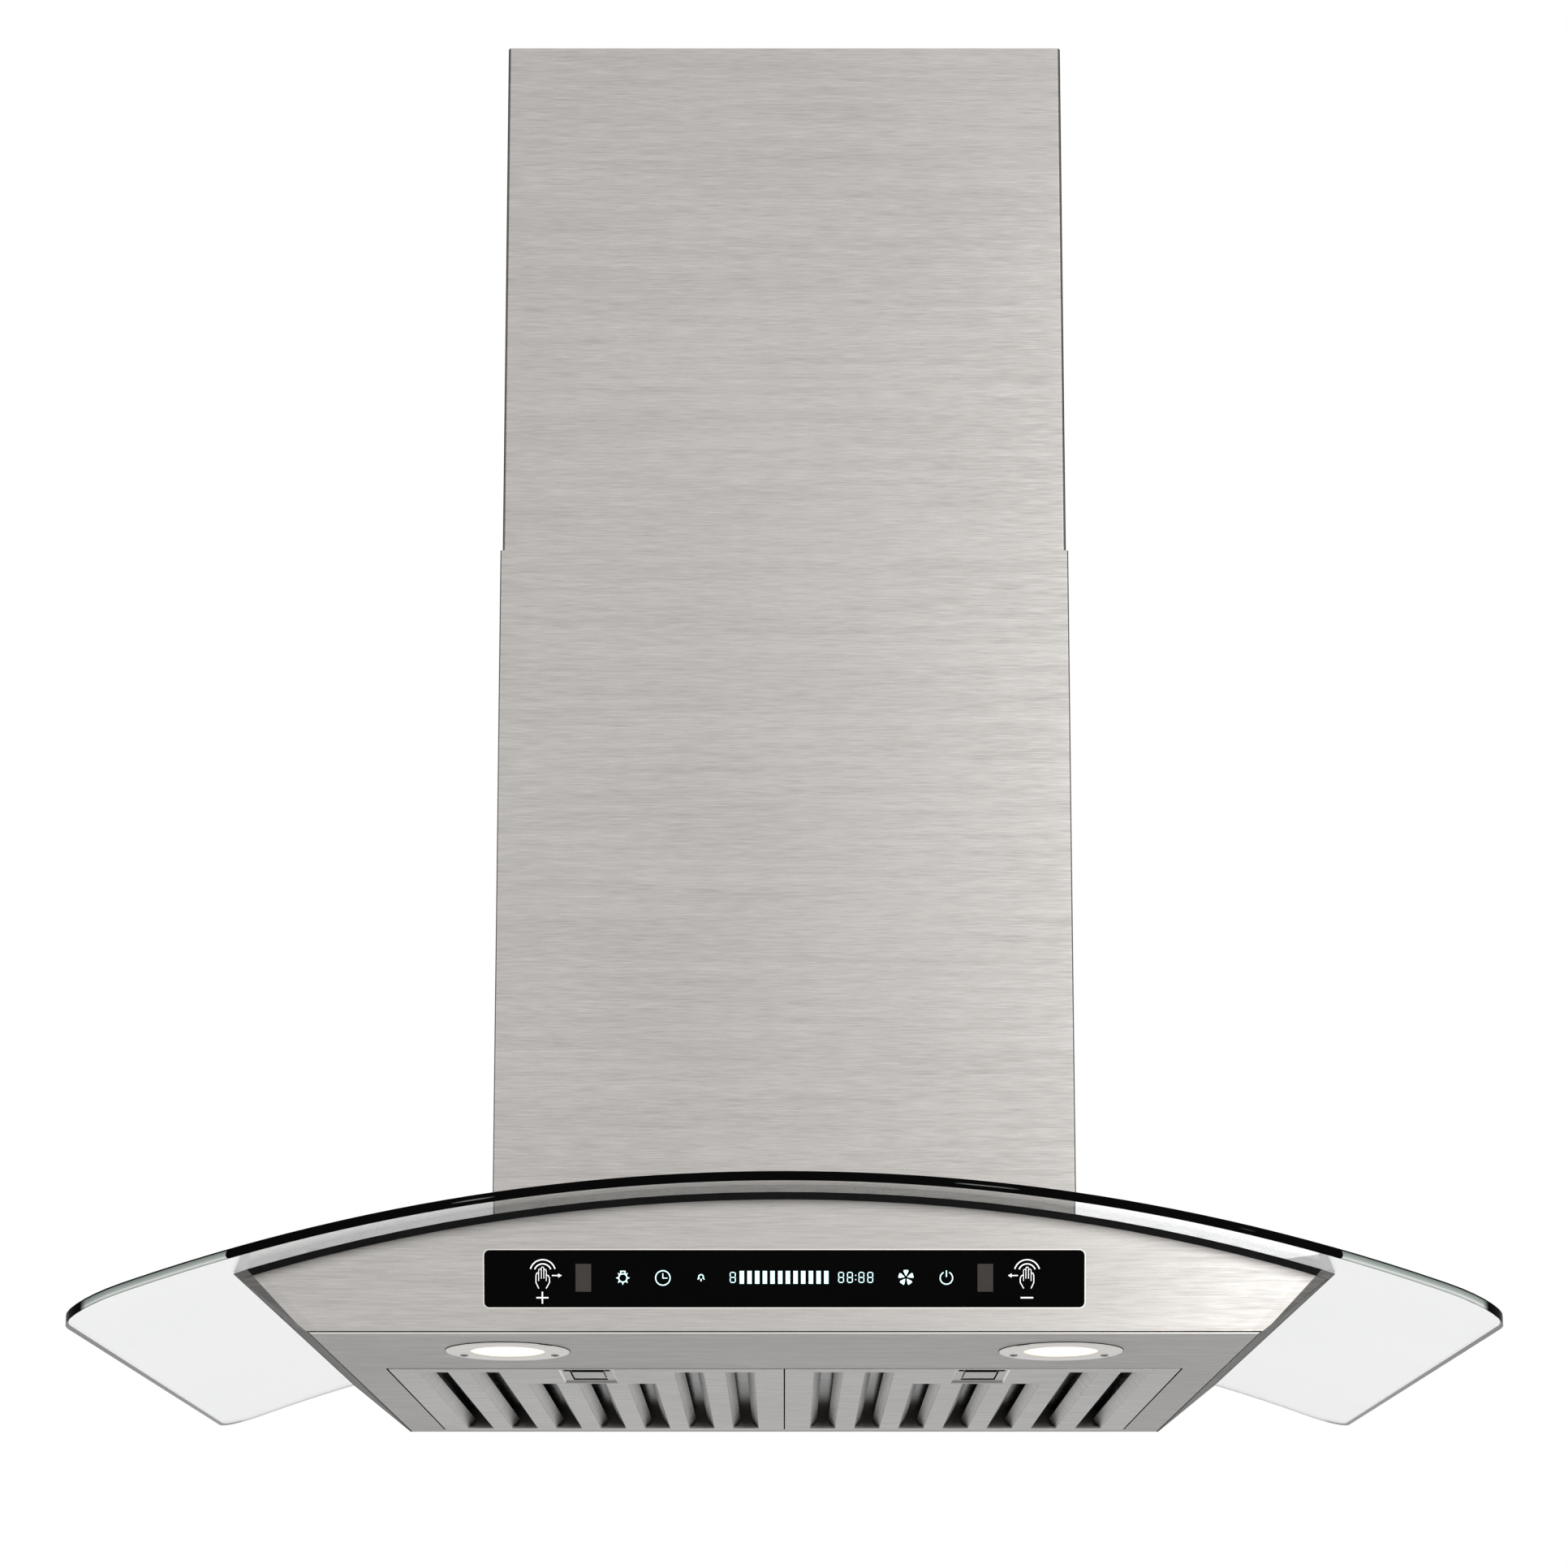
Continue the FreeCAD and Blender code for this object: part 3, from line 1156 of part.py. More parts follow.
def make_ceiling_bracket():
    """Wall bracket near the ceiling; open notches let the upper cover's screws drop out."""
    high = UPPER_COVER_TOP - CEILING_BRACKET_TOP_GAP
    low = high - CEILING_BRACKET_HEIGHT
    sheet = CEILING_BRACKET_SHEET
    half = CEILING_PLATE_WIDTH / 2
    ear = upper_inner - SEAT_GAP
    plate = box(-half, half, -sheet, 0, low, high)
    arm = box(half - sheet, half, -CEILING_ARM, 0, low, high)
    step = box(half - sheet, ear, -CEILING_ARM - sheet, -CEILING_ARM, low, high)
    flank = box(ear - sheet, ear, -CEILING_ARM - CEILING_EAR, -CEILING_ARM, low, high)
    notch_half = COVER_SCREW_R + SEAT_GAP
    notch = box(ear - sheet - OVERRUN, ear + OVERRUN, -ceiling_screw_depth - notch_half,
                -ceiling_screw_depth + notch_half, low - OVERRUN, ceiling_screw_height + notch_half)
    side = join([arm, step, flank]).cut(notch)
    bracket = join([plate, side, mirrored(side)])
    for x in (-CEILING_HOLE_SPREAD, CEILING_HOLE_SPREAD):
        bracket = bracket.cut(rod(CEILING_HOLE_R, Vector(x, -OVERRUN, ceiling_screw_height),
                                  Vector(x, OVERRUN, ceiling_screw_height)))
    return bracket


def filter_left_x():
    """The inner filter's left edge, as made right of the middle."""
    return FILTER_SEAM_GAP / 2


def slot_left(index):
    """Left edge of a slot in the right hand filter."""
    return filter_left_x() + SLOT_SIDE_BORDER + slot_pitch * index


def slot_front(index):
    """Front end of a slot; those behind the handle plate are shorter."""
    if index in HANDLE_SLOTS:
        return filter_front - HANDLE_PLATE_DEPTH
    return filter_front - SLOT_FRONT_BORDER


def make_filter_face():
    """Lower plate of the right filter: slots with turned up flanks, and the latch's pocket."""
    x0 = filter_left_x()
    x1 = filter_half_width
    rear = FILTER_REAR + SLOT_REAR_BORDER
    face = box(x0, x1, -filter_front, -FILTER_REAR, 0, FILTER_SHEET)
    slots = []
    flanks = []
    for index in range(SLOT_COUNT):
        left = slot_left(index)
        right = left + SLOT_WIDTH
        front = slot_front(index)
        slots.append(box(left, right, -front, -rear, -OVERRUN, OVERRUN))
        for edge, way in ((left, 1), (right, -1)):
            section = [
                Vector(edge - way * SLOT_FLANK_SHEET, -front, 0),
                Vector(edge, -front, 0),
                Vector(edge + way * SLOT_FLANK_IN, -front, SLOT_FLANK_UP),
                Vector(edge + way * (SLOT_FLANK_IN - SLOT_FLANK_SHEET), -front, SLOT_FLANK_UP),
            ]
            flanks.append(prism(section, Vector(0, front - rear, 0)))
    face = face.cut(group(slots))
    middle = filter_middle
    pocket_front = filter_front - POCKET_FRONT_INSET
    pocket_rear = pocket_front - POCKET_LENGTH
    half = POCKET_WIDTH / 2
    window = box(middle - half, middle + half, -pocket_front, -pocket_rear, -OVERRUN, OVERRUN)
    floor = box(middle - half - GUIDE_THICKNESS, middle + half + GUIDE_THICKNESS, -pocket_front,
                -pocket_rear, POCKET_RECESS, POCKET_RECESS + FILTER_SHEET)
    finger_half = half - FINGER_HOLE_MARGIN
    finger_rear = pocket_front - FINGER_HOLE_LENGTH
    finger = box(middle - finger_half, middle + finger_half, -pocket_front + FINGER_HOLE_MARGIN,
                 -finger_rear, -OVERRUN, OVERRUN)
    button_half = BUTTON_WIDTH / 2 + BUTTON_SIDE_GAP
    button_rear = finger_rear - SEAT_GAP - BUTTON_LENGTH - LATCH_TRAVEL - SLIDING_GAP
    button_way = box(middle - button_half, middle + button_half, -finger_rear - SEAT_GAP,
                     -button_rear, -OVERRUN, OVERRUN)
    floor = floor.cut(finger).cut(button_way)
    stop = box(middle - BUSH_R, middle + BUSH_R, -pocket_rear - LATCH_STOP_THICKNESS, -pocket_rear,
               POCKET_RECESS, POCKET_RECESS + FILTER_SHEET + LATCH_STOP_HEIGHT + SPRING_R)
    guides = []
    plate_top = POCKET_RECESS + FILTER_SHEET + LATCH_PLATE_LIFT + LATCH_PLATE_THICKNESS
    inner = LATCH_PLATE_WIDTH / 2 + SEAT_GAP
    for way in (-1, 1):
        wall = middle + way * inner
        guides.append(box(wall, wall + way * GUIDE_THICKNESS, -finger_rear, -pocket_rear - OVERRUN * 2,
                          POCKET_RECESS, plate_top + SEAT_GAP + GUIDE_THICKNESS))
        guides.append(box(wall - way * GUIDE_LIP, wall + way * GUIDE_THICKNESS, -finger_rear,
                          -pocket_rear - OVERRUN * 2, plate_top + SEAT_GAP,
                          plate_top + SEAT_GAP + GUIDE_THICKNESS))
    return join([face.cut(window), floor, stop] + flanks + guides)


def make_filter_frame():
    """Upright wall round the right filter, with a top flange and two rear tabs."""
    x0 = filter_left_x()
    x1 = filter_half_width
    sheet = FILTER_SHEET
    outer = box(x0, x1, -filter_front, -FILTER_REAR, sheet, FILTER_HEIGHT)
    inner = box(x0 + sheet, x1 - sheet, -filter_front + sheet, -FILTER_REAR - sheet, 0,
                FILTER_HEIGHT - sheet)
    edge = FILTER_TOP_FLANGE
    mouth = box(x0 + edge, x1 - edge, -filter_front + edge, -FILTER_REAR - edge, 0,
                FILTER_HEIGHT + OVERRUN)
    frame = outer.cut(inner).cut(mouth)
    bolt_half = LATCH_BOLT_WIDTH / 2 + SEAT_GAP
    bolt_low = POCKET_RECESS + FILTER_SHEET + LATCH_PLATE_LIFT - SEAT_GAP
    bolt_high = bolt_low + LATCH_PLATE_THICKNESS + SEAT_GAP * 2
    slot = box(filter_middle - bolt_half, filter_middle + bolt_half, -filter_front - OVERRUN,
               -filter_front + OVERRUN, bolt_low, bolt_high)
    tabs = []
    for x in (filter_middle - TAB_SPREAD, filter_middle + TAB_SPREAD):
        tabs.append(box(x - TAB_WIDTH / 2, x + TAB_WIDTH / 2, -FILTER_REAR - sheet,
                        -FILTER_REAR + TAB_REACH, tab_low, tab_low + TAB_THICKNESS))
    return join([frame.cut(slot)] + tabs)


def make_filter_baffles():
    """Upper row of the right filter: a channel, open downwards, over each slot."""
    front = filter_front - FILTER_SHEET
    rear = FILTER_REAR + FILTER_SHEET
    sheet = FILTER_SHEET
    channels = []
    for index in range(SLOT_COUNT):
        x0 = slot_left(index) - HOOD_BAFFLE_OVERLAP
        x1 = slot_left(index) + SLOT_WIDTH + HOOD_BAFFLE_OVERLAP
        outer = box(x0, x1, -front, -rear, HOOD_BAFFLE_LOW, HOOD_BAFFLE_HIGH)
        inner = box(x0 + sheet, x1 - sheet, -front - OVERRUN, -rear + OVERRUN,
                    HOOD_BAFFLE_LOW - OVERRUN, HOOD_BAFFLE_HIGH - sheet)
        channels.append(outer.cut(inner))
    return group(channels)


def make_filter_latch():
    """Sliding latch: a finger button, the plate above it and the bolt to the front."""
    middle = filter_middle
    pocket_front = filter_front - POCKET_FRONT_INSET
    button_front = pocket_front - FINGER_HOLE_LENGTH
    button_rear = button_front - BUTTON_LENGTH
    low = POCKET_RECESS + FILTER_SHEET + LATCH_PLATE_LIFT
    high = low + LATCH_PLATE_THICKNESS
    half = BUTTON_WIDTH / 2
    button = box(middle - half, middle + half, -button_front, -button_rear, -BUTTON_PROUD, low)
    plate_half = LATCH_PLATE_WIDTH / 2
    plate_rear = button_rear - LATCH_TRAVEL + LATCH_STOP_THICKNESS
    plate = box(middle - plate_half, middle + plate_half, -button_front, -plate_rear, low, high)
    bolt_half = LATCH_BOLT_WIDTH / 2
    bolt = box(middle - bolt_half, middle + bolt_half, -filter_front + FILTER_SHEET, -button_front,
               low, high)
    pusher = box(middle - BUSH_R, middle + BUSH_R, -plate_rear - LATCH_STOP_THICKNESS, -plate_rear,
                 low, low + LATCH_STOP_HEIGHT + SPRING_R)
    return join([button, plate, bolt, pusher]), plate_rear


def make_latch_spring(start_depth, end_depth):
    """Coil spring behind the latch's pusher, as one tube on quarter turn arcs."""
    height = POCKET_RECESS + FILTER_SHEET + LATCH_STOP_HEIGHT
    radius = SPRING_R - SPRING_WIRE_R
    quarters = SPRING_TURNS * 4
    first = -start_depth + SPRING_WIRE_R + SEAT_GAP
    last = -end_depth - SPRING_WIRE_R - SEAT_GAP

    def on_coil(share):
        angle = 2 * math.pi * SPRING_TURNS * share
        return Vector(filter_middle + radius * math.cos(angle), first + (last - first) * share,
                      height + radius * math.sin(angle))

    arcs = []
    for quarter in range(quarters):
        points = [on_coil((quarter + step / 2) / quarters) for step in range(3)]
        arcs.append(Part.Arc(*points).toShape())
    path = Part.Wire(arcs)
    start = on_coil(0)
    way = on_coil(1 / quarters / 8) - start
    ring = Part.Wire(Part.makeCircle(SPRING_WIRE_R, start, way))
    return path.makePipeShell([ring], True, False)


left_panel, right_panel, fascia_sheet, back_sheet, floor_sheet, roof_sheet = make_body_sheets()
fascia = fascia_sheet.cut(control_window())
save("fascia", fascia)
save("side_panel_left", left_panel)
save("side_panel_right", right_panel)
save("back_panel", back_sheet.cut(safety_holes()))
save("underside_panel", make_underside(floor_sheet))
save("top_plate", make_top_plate(roof_sheet))
save("inner_divider", make_divider())
save("canopy_gasket", make_canopy_gasket())
save("opening_gaskets", make_opening_gaskets())
save("glass_canopy", make_glass_canopy())
save("clamp_frame", make_clamp_frame())
save("glass_screws", make_glass_screws())

save("control_glass", make_control_glass())
save("gesture_sensors", make_gesture_sensors())
save("display_board", make_display_board())
save("control_tray", make_control_tray())
save("power_box", make_power_box())
save("power_box_lid", make_power_lid())
save("power_board", make_power_board())

for side_name, side in (("left", -1), ("right", 1)):
    save("lamp_bezel_" + side_name, at_lamp(make_lamp_bezel(), side))
    save("lamp_lens_" + side_name, at_lamp(make_lamp_lens(), side))
    save("lamp_body_" + side_name, at_lamp(make_lamp_body(), side))
save("lamp_screws", group([at_lamp(make_lamp_screws(), -1), at_lamp(make_lamp_screws(), 1)]))

save("hang_plate", make_hang_plate())
save("blower_housing", make_housing())
save("housing_top", make_housing_top())
save("housing_screws", make_housing_screws())
save("volute_shell", make_volute_shell())
save("volute_side_right", make_volute_side())
save("volute_side_left", mirrored(make_volute_side()))
save("impeller", make_impeller())
save("motor_shaft", make_motor_shaft())
save("motor", make_motor())
save("motor_bracket", make_motor_bracket())
save("motor_bushes", make_motor_bushes())
save("capacitor", make_capacitor())
save("outlet_collar", make_outlet_collar())
save("damper_pins", make_damper_pins())
save("damper_flap_front", make_damper_flap(-1))
save("damper_flap_rear", make_damper_flap(1))
save("cable_gland", make_cable_gland())

save("lower_chimney_cover", make_lower_cover())
save("chimney_feet", make_chimney_feet())
save("chimney_screws", cover_screws(CHIMNEY_WIDTH / 2, FOOT_DEPTH, FOOT_HOLE_HEIGHT))
save("upper_chimney_cover", make_upper_cover())
save("upper_cover_screws", cover_screws(upper_half_width, ceiling_screw_depth,
                                        ceiling_screw_height))
save("ceiling_bracket", make_ceiling_bracket())

latch, latch_rear = make_filter_latch()
spring_seat = filter_front - POCKET_FRONT_INSET - POCKET_LENGTH + LATCH_STOP_THICKNESS
filter_pieces = {
    "filter_face": make_filter_face(),
    "filter_frame": make_filter_frame(),
    "filter_baffles": make_filter_baffles(),
    "filter_latch": latch,
    "latch_spring": make_latch_spring(latch_rear, spring_seat),
}
for piece_name, piece in filter_pieces.items():
    save(piece_name + "_right", piece)
    save(piece_name + "_left", mirrored(piece))
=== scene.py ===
import bmesh
import bpy
import math
from mathutils import Matrix, Vector


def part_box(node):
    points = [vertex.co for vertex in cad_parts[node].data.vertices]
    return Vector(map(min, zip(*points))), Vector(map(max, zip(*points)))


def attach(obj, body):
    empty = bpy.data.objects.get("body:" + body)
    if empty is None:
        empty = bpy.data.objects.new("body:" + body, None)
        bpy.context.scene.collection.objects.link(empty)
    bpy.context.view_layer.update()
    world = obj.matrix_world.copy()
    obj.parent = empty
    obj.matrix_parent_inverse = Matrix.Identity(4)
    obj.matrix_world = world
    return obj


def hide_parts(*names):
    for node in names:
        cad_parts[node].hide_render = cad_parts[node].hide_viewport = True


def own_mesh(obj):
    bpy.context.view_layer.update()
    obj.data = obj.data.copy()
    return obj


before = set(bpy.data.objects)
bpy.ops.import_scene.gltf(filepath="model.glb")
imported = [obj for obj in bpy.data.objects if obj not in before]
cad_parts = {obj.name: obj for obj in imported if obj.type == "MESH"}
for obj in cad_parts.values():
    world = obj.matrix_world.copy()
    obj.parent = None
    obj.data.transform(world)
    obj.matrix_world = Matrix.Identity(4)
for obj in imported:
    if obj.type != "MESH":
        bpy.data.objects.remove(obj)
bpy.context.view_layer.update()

# Wall mount range hood, in metres. +Z is up, the front faces -Y, the wall is the plane Y = 0.
MM = 0.001

# The photograph's camera, in a square frame
PHOTO_WIDTH = 1932
PHOTO_FOCUS = 3761.5
PHOTO_MIDDLE_X = 966.4
PHOTO_MIDDLE_Y = 1719.3
SENSOR = 36.0
CAMERA_PLACE = Vector((0.0, -2.06506, -0.4668))
CAMERA_TILT = math.radians(7.224)

# Curved glass, and the black and painted reflections on its edge
GLASS_RADIUS = 1032.5 * MM
GLASS_THICKNESS = 5.0 * MM
GLASS_FRONT_CORNER = 35.0 * MM
GLASS_REAR_CORNER = 25.0 * MM
GLASS_COLUMNS = 56
GLASS_EDGE_ROUND = 0.9 * MM
GLASS_SHARP_ANGLE = math.radians(50.0)
EDGE_BLACK_HALF_WIDTH = 290.5 * MM
EDGE_BLACK_END_R = 2.7 * MM
EDGE_BLACK_END_FADE = 0.08 * MM
EDGE_TIP = (363.5 * MM, 367.0 * MM)
EDGE_SIDE = (-462.0 * MM, -458.0 * MM)
EDGE_REAR = (-6.0 * MM, -3.0 * MM)
AIRWAY_HALF_WIDTH = 140.0 * MM
AIRWAY_FRONT = 244.0 * MM
AIRWAY_REAR = 14.0 * MM
AIRWAY_CORNER = 12.0 * MM
AIRWAY_MARGIN = 10.0 * MM

# Chimney covers
COVER_SHEET = 0.8 * MM
COVER_RETURN = 18.0 * MM
COVER_FOOT_GAP = 0.3 * MM
COVER_EASE = 0.2 * MM
COVER_SHARP_ANGLE = math.radians(60.0)
COVER_COLUMNS = 40
LOWER_FOLD = 1.2 * MM
UPPER_FOLD = 2.2 * MM

# Controls
FASCIA_LEAN = math.atan(12.0 / 74.6)
PANEL_CENTRE_RISE = 29.0 * MM
PANEL_FOOT_DEPTH = 457.0 * MM
PANEL_PROUD = 0.4 * MM
PANEL_HALF_WIDTH = 159.5 * MM
PANEL_HALF_HEIGHT = 15.0 * MM
PANEL_CORNER = 2.6 * MM
WINDOW_EDGE = 0.55 * MM
WINDOW_LIFT = -0.32 * MM
SYMBOL_LIFT = 0.03 * MM
SYMBOL_THICKNESS = 0.05 * MM
SHARPEST_MITRE = 0.45
SENSOR_SPREAD = 106.9 * MM
SENSOR_WIDTH = 8.3 * MM
SENSOR_HEIGHT = 14.8 * MM
SENSOR_RISE = 0.5 * MM
SENSOR_FILM = 0.05 * MM

# Seam between the fascia and the panel below it
SEAM_LIFT = 1.5 * MM
SEAM_REACH = 0.85 * MM
SEAM_ZONE = 0.5 * MM
UNDERSIDE_FRONT = 455.5 * MM

# Lamps. The profiles are radius and height in millimetres.
LAMP_SPREAD = 153.0 * MM
LAMP_DEPTH = 393.0 * MM
LAMP_RING_PROUD = 0.9 * MM
LAMP_RING = ((20.5, 1.0), (20.5, -0.45), (20.9, -0.8), (21.6, -0.9), (33.2, -0.9), (33.9, -0.72),
             (34.2, -0.35), (34.2, -0.02), (29.6, -0.02), (29.6, 1.0), (20.5, 1.0))
# A black ring round the lamp's ring, which stands for the shadow at its edge: painted shade.
LAMP_SHADOW_RING = ((33.15, -0.01), (33.15, -0.3), (34.45, -0.3), (34.55, -0.2), (34.55, -0.01), (33.15, -0.01))
LAMP_LENS = ((0.0, -0.85), (6.0, -0.83), (12.0, -0.75), (17.0, -0.6), (19.4, -0.42), (20.2, -0.15),
             (20.2, 0.0), (23.0, 0.02), (23.0, 2.0), (0.0, 2.0))
LAMP_LENS_R = 20.2 * MM
LAMP_STEPS = 96
LAMP_LENS_STEPS = 64
LAMP_NOTCH_R = 32.5 * MM
LAMP_NOTCH_WAY = (0.67, -0.74)
LAMP_NOTCH_SPAN = math.radians(7.0)
LAMP_NOTCH_DEPTH = 1.3 * MM
LAMP_SCREW_SPREAD = 25.3 * MM
LAMP_SCREW_BACKSET = 12.0 * MM

# Screws: head radius and height, shank length and radius
LAMP_SCREW = (2.3 * MM, 0.5 * MM, 9.0 * MM, 1.5 * MM)
COVER_SCREW = (4.0 * MM, 1.8 * MM, 7.0 * MM, 2.0 * MM)
SCREW_SIDES = 24

# Filters and latches
FILTER_FRONT = 318.9 * MM
FILTER_SIDE = 229.3 * MM
FILTER_MIDDLE = 114.85 * MM
FILTER_SHEET = 0.8 * MM
FILTER_PROUD = 0.45 * MM
FILTER_SIDE_GAP = 0.8 * MM
FILTER_EASE = 0.18 * MM
BAFFLE_TOP = 14.0 * MM
POCKET_HALF_WIDTH = 14.85 * MM
POCKET_FRONT = 316.5 * MM
POCKET_REAR = 258.5 * MM
POCKET_SLOPE = 0.9 * MM
FINGER_HALF_WIDTH = 13.45 * MM
BUTTON_WAY_HALF = 10.15 * MM
BUTTON_WAY_REAR = 266.5 * MM
BUTTON_FRONT = 304.0 * MM
BUTTON_SETBACK = 5.0 * MM
BUTTON_DEPTH = 0.75 * MM

# Shades in the steel: inside the filters, above the underside, and under the canopy's gasket
SHADE_START = 0.3 * MM
SHADE_FULL = 4.3 * MM
LATCH_SHADE_FULL = 1.2 * MM
GASKET_CORNER = 285.5 * MM
GASKET_LOW_RADIUS = 1023.5 * MM
GASKET_SHADE_REACH = 7.0 * MM
GASKET_SHADE = 0.7

# Floor and light
FLOOR_Z = -1.65
FLOOR_HALF = 12.0
AMBIENT = 0.35
LIGHT_AIM = Vector((0, -0.2, 0))

# Copies of the frame's own shapes: cleaning them up, easing their edges and picking faces by place
WELD = 0.002 * MM
MARGIN = 1.0 * MM
SHEET_EASE = 0.3 * MM
GASKET_EASE = 0.2 * MM
LATCH_EASE = 0.2 * MM
TOUCH_GLASS_EASE = 0.35 * MM
FLAT_ANGLE = math.radians(0.4)
SHARP_ANGLE = math.radians(28.0)

glass_low, glass_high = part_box("glass_canopy")
glass_axis_z = glass_high.z - GLASS_RADIUS
underside_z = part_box("underside_panel")[0].z


def arc_z(radius, x):
    """Height of an arc about the canopy's axis, at x from the middle."""
    return glass_axis_z + math.sqrt(radius * radius - x * x)


def grey(level, warmth=0.0):
    """A grey, with a little more red and less blue when it is warm."""
    return (level * (1 + warmth), level, level * (1 - warmth), 1.0)


def dimmed(colour, share):
    """A share of a colour."""
    return tuple(value * share for value in colour[:3]) + (1.0,)


NOUGHT = (0.0, 0.0, 0.0)
BLACK = grey(0.0)
WHITE = grey(1.0)

# Shader nodes. Their inputs are given by name or number, as values or as sockets to link.

# Places of the two colours among a mix node's inputs, and of the mixed one among its outputs
MIX_FIRST, MIX_SECOND, MIX_RESULT = 6, 7, 2
OUTPUT_KINDS = {"Base Color": "Color", "Emission Color": "Color", "Roughness": "Float", "Normal": "Vector"}


def feed(tree, node, inputs):
    """Sets a node's inputs, and links those that are given a socket."""
    for name, value in inputs.items():
        if isinstance(value, bpy.types.NodeSocket):
            tree.links.new(value, node.inputs[name])
        else:
            node.inputs[name].default_value = value


def add_node(tree, kind, inputs, output=0, **settings):
    """Adds a node and gives one of its outputs, or all of them when output is None."""
    node = tree.nodes.new("ShaderNode" + kind)
    for name, value in settings.items():
        setattr(node, name, value)
    feed(tree, node, inputs)
    return node.outputs if output is None else node.outputs[output]


def math_node(tree, operation, *values):
    """One operation on a number or socket, or over several of them from left to right."""
    result = add_node(tree, "Math", dict(enumerate(values[:2])), operation=operation)
    for value in values[2:]:
        result = add_node(tree, "Math", {0: result, 1: value}, operation=operation)
    return result


def weigh(tree, *parts):
    """The sum of sockets, each times its weight."""
    return math_node(tree, "ADD", *[math_node(tree, "MULTIPLY", *part) for part in parts])


def length(tree, first, second):
    """The length of a slope from its two sides."""
    squares = [math_node(tree, "MULTIPLY", side, side) for side in (first, second)]
    return math_node(tree, "SQRT", math_node(tree, "ADD", *squares))


def spread(tree, value, low, high, to_low=0.0, to_high=1.0):
    """Maps a value from one range to another, clamped."""
    return add_node(tree, "MapRange", {"Value": value, "From Min": low, "From Max": high,
                                       "To Min": to_low, "To Max": to_high}, "Result")


def noise(tree, vector, scale, detail=3.0, roughness=0.55):
    """A noise pattern on the given coordinates."""
    return add_node(tree, "TexNoise", {"Vector": vector, "Scale": scale, "Detail": detail,
                                       "Roughness": roughness}, "Fac")


def blend_colours(tree, share, first, second):
    """A colour between two."""
    return add_node(tree, "Mix", {"Factor": share, MIX_FIRST: first, MIX_SECOND: second}, MIX_RESULT,
                    data_type="RGBA")


def bump(tree, height, distance):
    """The normal of a surface with this relief."""
    return add_node(tree, "Bump", {"Strength": 1.0, "Distance": distance, "Height": height}, "Normal")


def stretched(tree, vector, factors):
    """Coordinates times a factor along each axis."""
    return add_node(tree, "VectorMath", {0: vector, 1: factors}, operation="MULTIPLY")


def axes(tree, vector):
    """The three numbers of a vector."""
    return add_node(tree, "SeparateXYZ", {"Vector": vector}, None)


def arc_radius(tree, place):
    """Distance from the canopy's axis."""
    x, _, z = axes(tree, place)
    return length(tree, x, math_node(tree, "SUBTRACT", z, glass_axis_z))


def new_group(name, inputs, outputs):
    """An empty shader node group, with the sockets that it is given and its result node.

    Its outputs are named after the shader's inputs that they feed.
    """
    group = bpy.data.node_groups.new(name, "ShaderNodeTree")
    for socket, value in inputs.items():
        kind = "Float" if isinstance(value, float) else ("Vector" if len(value) == 3 else "Color")
        made = group.interface.new_socket(socket, in_out="INPUT", socket_type="NodeSocket" + kind)
        made.default_value = value
    for socket in outputs:
        kind = OUTPUT_KINDS[socket]
        group.interface.new_socket(socket, in_out="OUTPUT", socket_type="NodeSocket" + kind)
    return group, group.nodes.new("NodeGroupInput").outputs, group.nodes.new("NodeGroupOutput")


def make_brushed_group():
    """Brushed sheet: short fine streaks, slower bands and cloudy patches, with a shade above a height."""
    group, given, result = new_group(
        "brushed_sheet",
        {"Vector": NOUGHT, "Grain": (60.0, 60.0, 1300.0), "Dark": grey(0.4), "Light": grey(0.6),
         "Smooth": 0.24, "Rough": 0.36, "Depth": 1e-5, "Shade": 0.0,
         "Shade Low": underside_z + SHADE_START, "Shade High": underside_z + SHADE_FULL},
        ("Base Color", "Roughness", "Normal"))
    place = given["Vector"]
    along = stretched(group, place, given["Grain"])
    streaks = noise(group, along, 1.0, 2.0, 0.6)
    slow = noise(group, along, 0.16, 2.0, 0.5)
    clouds = noise(group, place, 5.0, 2.0, 0.5)
    tone = weigh(group, (streaks, 0.60), (slow, 0.26), (clouds, 0.14))
    colour = blend_colours(group, spread(group, tone, 0.34, 0.66), given["Dark"], given["Light"])
    # Painted shade: darker with height above the underside, inside the hood.
    painted_depth_shade = spread(group, axes(group, place)["Z"], given["Shade Low"], given["Shade High"], 0.0,
                    given["Shade"])
    feed(group, result, {
        "Base Color": blend_colours(group, painted_depth_shade, colour, BLACK),
        "Roughness": spread(group, tone, 0.34, 0.66, given["Rough"], given["Smooth"]),
        "Normal": bump(group, streaks, given["Depth"])})
    return group


def make_grain_group():
    """Moulded or cast surface: fine even grain with faint patches."""
    group, given, result = new_group(
        "fine_grain",
        {"Vector": NOUGHT, "Scale": 1500.0, "Dark": grey(0.02), "Light": grey(0.04), "Smooth": 0.45,
         "Rough": 0.65, "Depth": 3e-5},
        ("Base Color", "Roughness", "Normal"))
    fine = noise(group, given["Vector"], given["Scale"], roughness=0.5)
    tone = weigh(group, (fine, 0.6), (noise(group, given["Vector"], 40.0, 2.0), 0.4))
    feed(group, result, {
        "Base Color": blend_colours(group, spread(group, tone, 0.36, 0.64), given["Dark"], given["Light"]),
        "Roughness": spread(group, tone, 0.36, 0.64, given["Smooth"], given["Rough"]),
        "Normal": bump(group, fine, given["Depth"])})
    return group


def make_wipe_group():
    """Gloss with hardly visible wipe marks."""
    group, given, result = new_group(
        "wipe_marks", {"Vector": NOUGHT, "Dark": grey(0.0), "Light": grey(0.1)}, ("Base Color", "Roughness"))
    marks = noise(group, given["Vector"], 22.0, 4.0)
    feed(group, result, {
        "Base Color": blend_colours(group, spread(group, marks, 0.35, 0.7), given["Dark"], given["Light"]),
        "Roughness": spread(group, marks, 0.35, 0.7, 0.03, 0.09)})
    return group


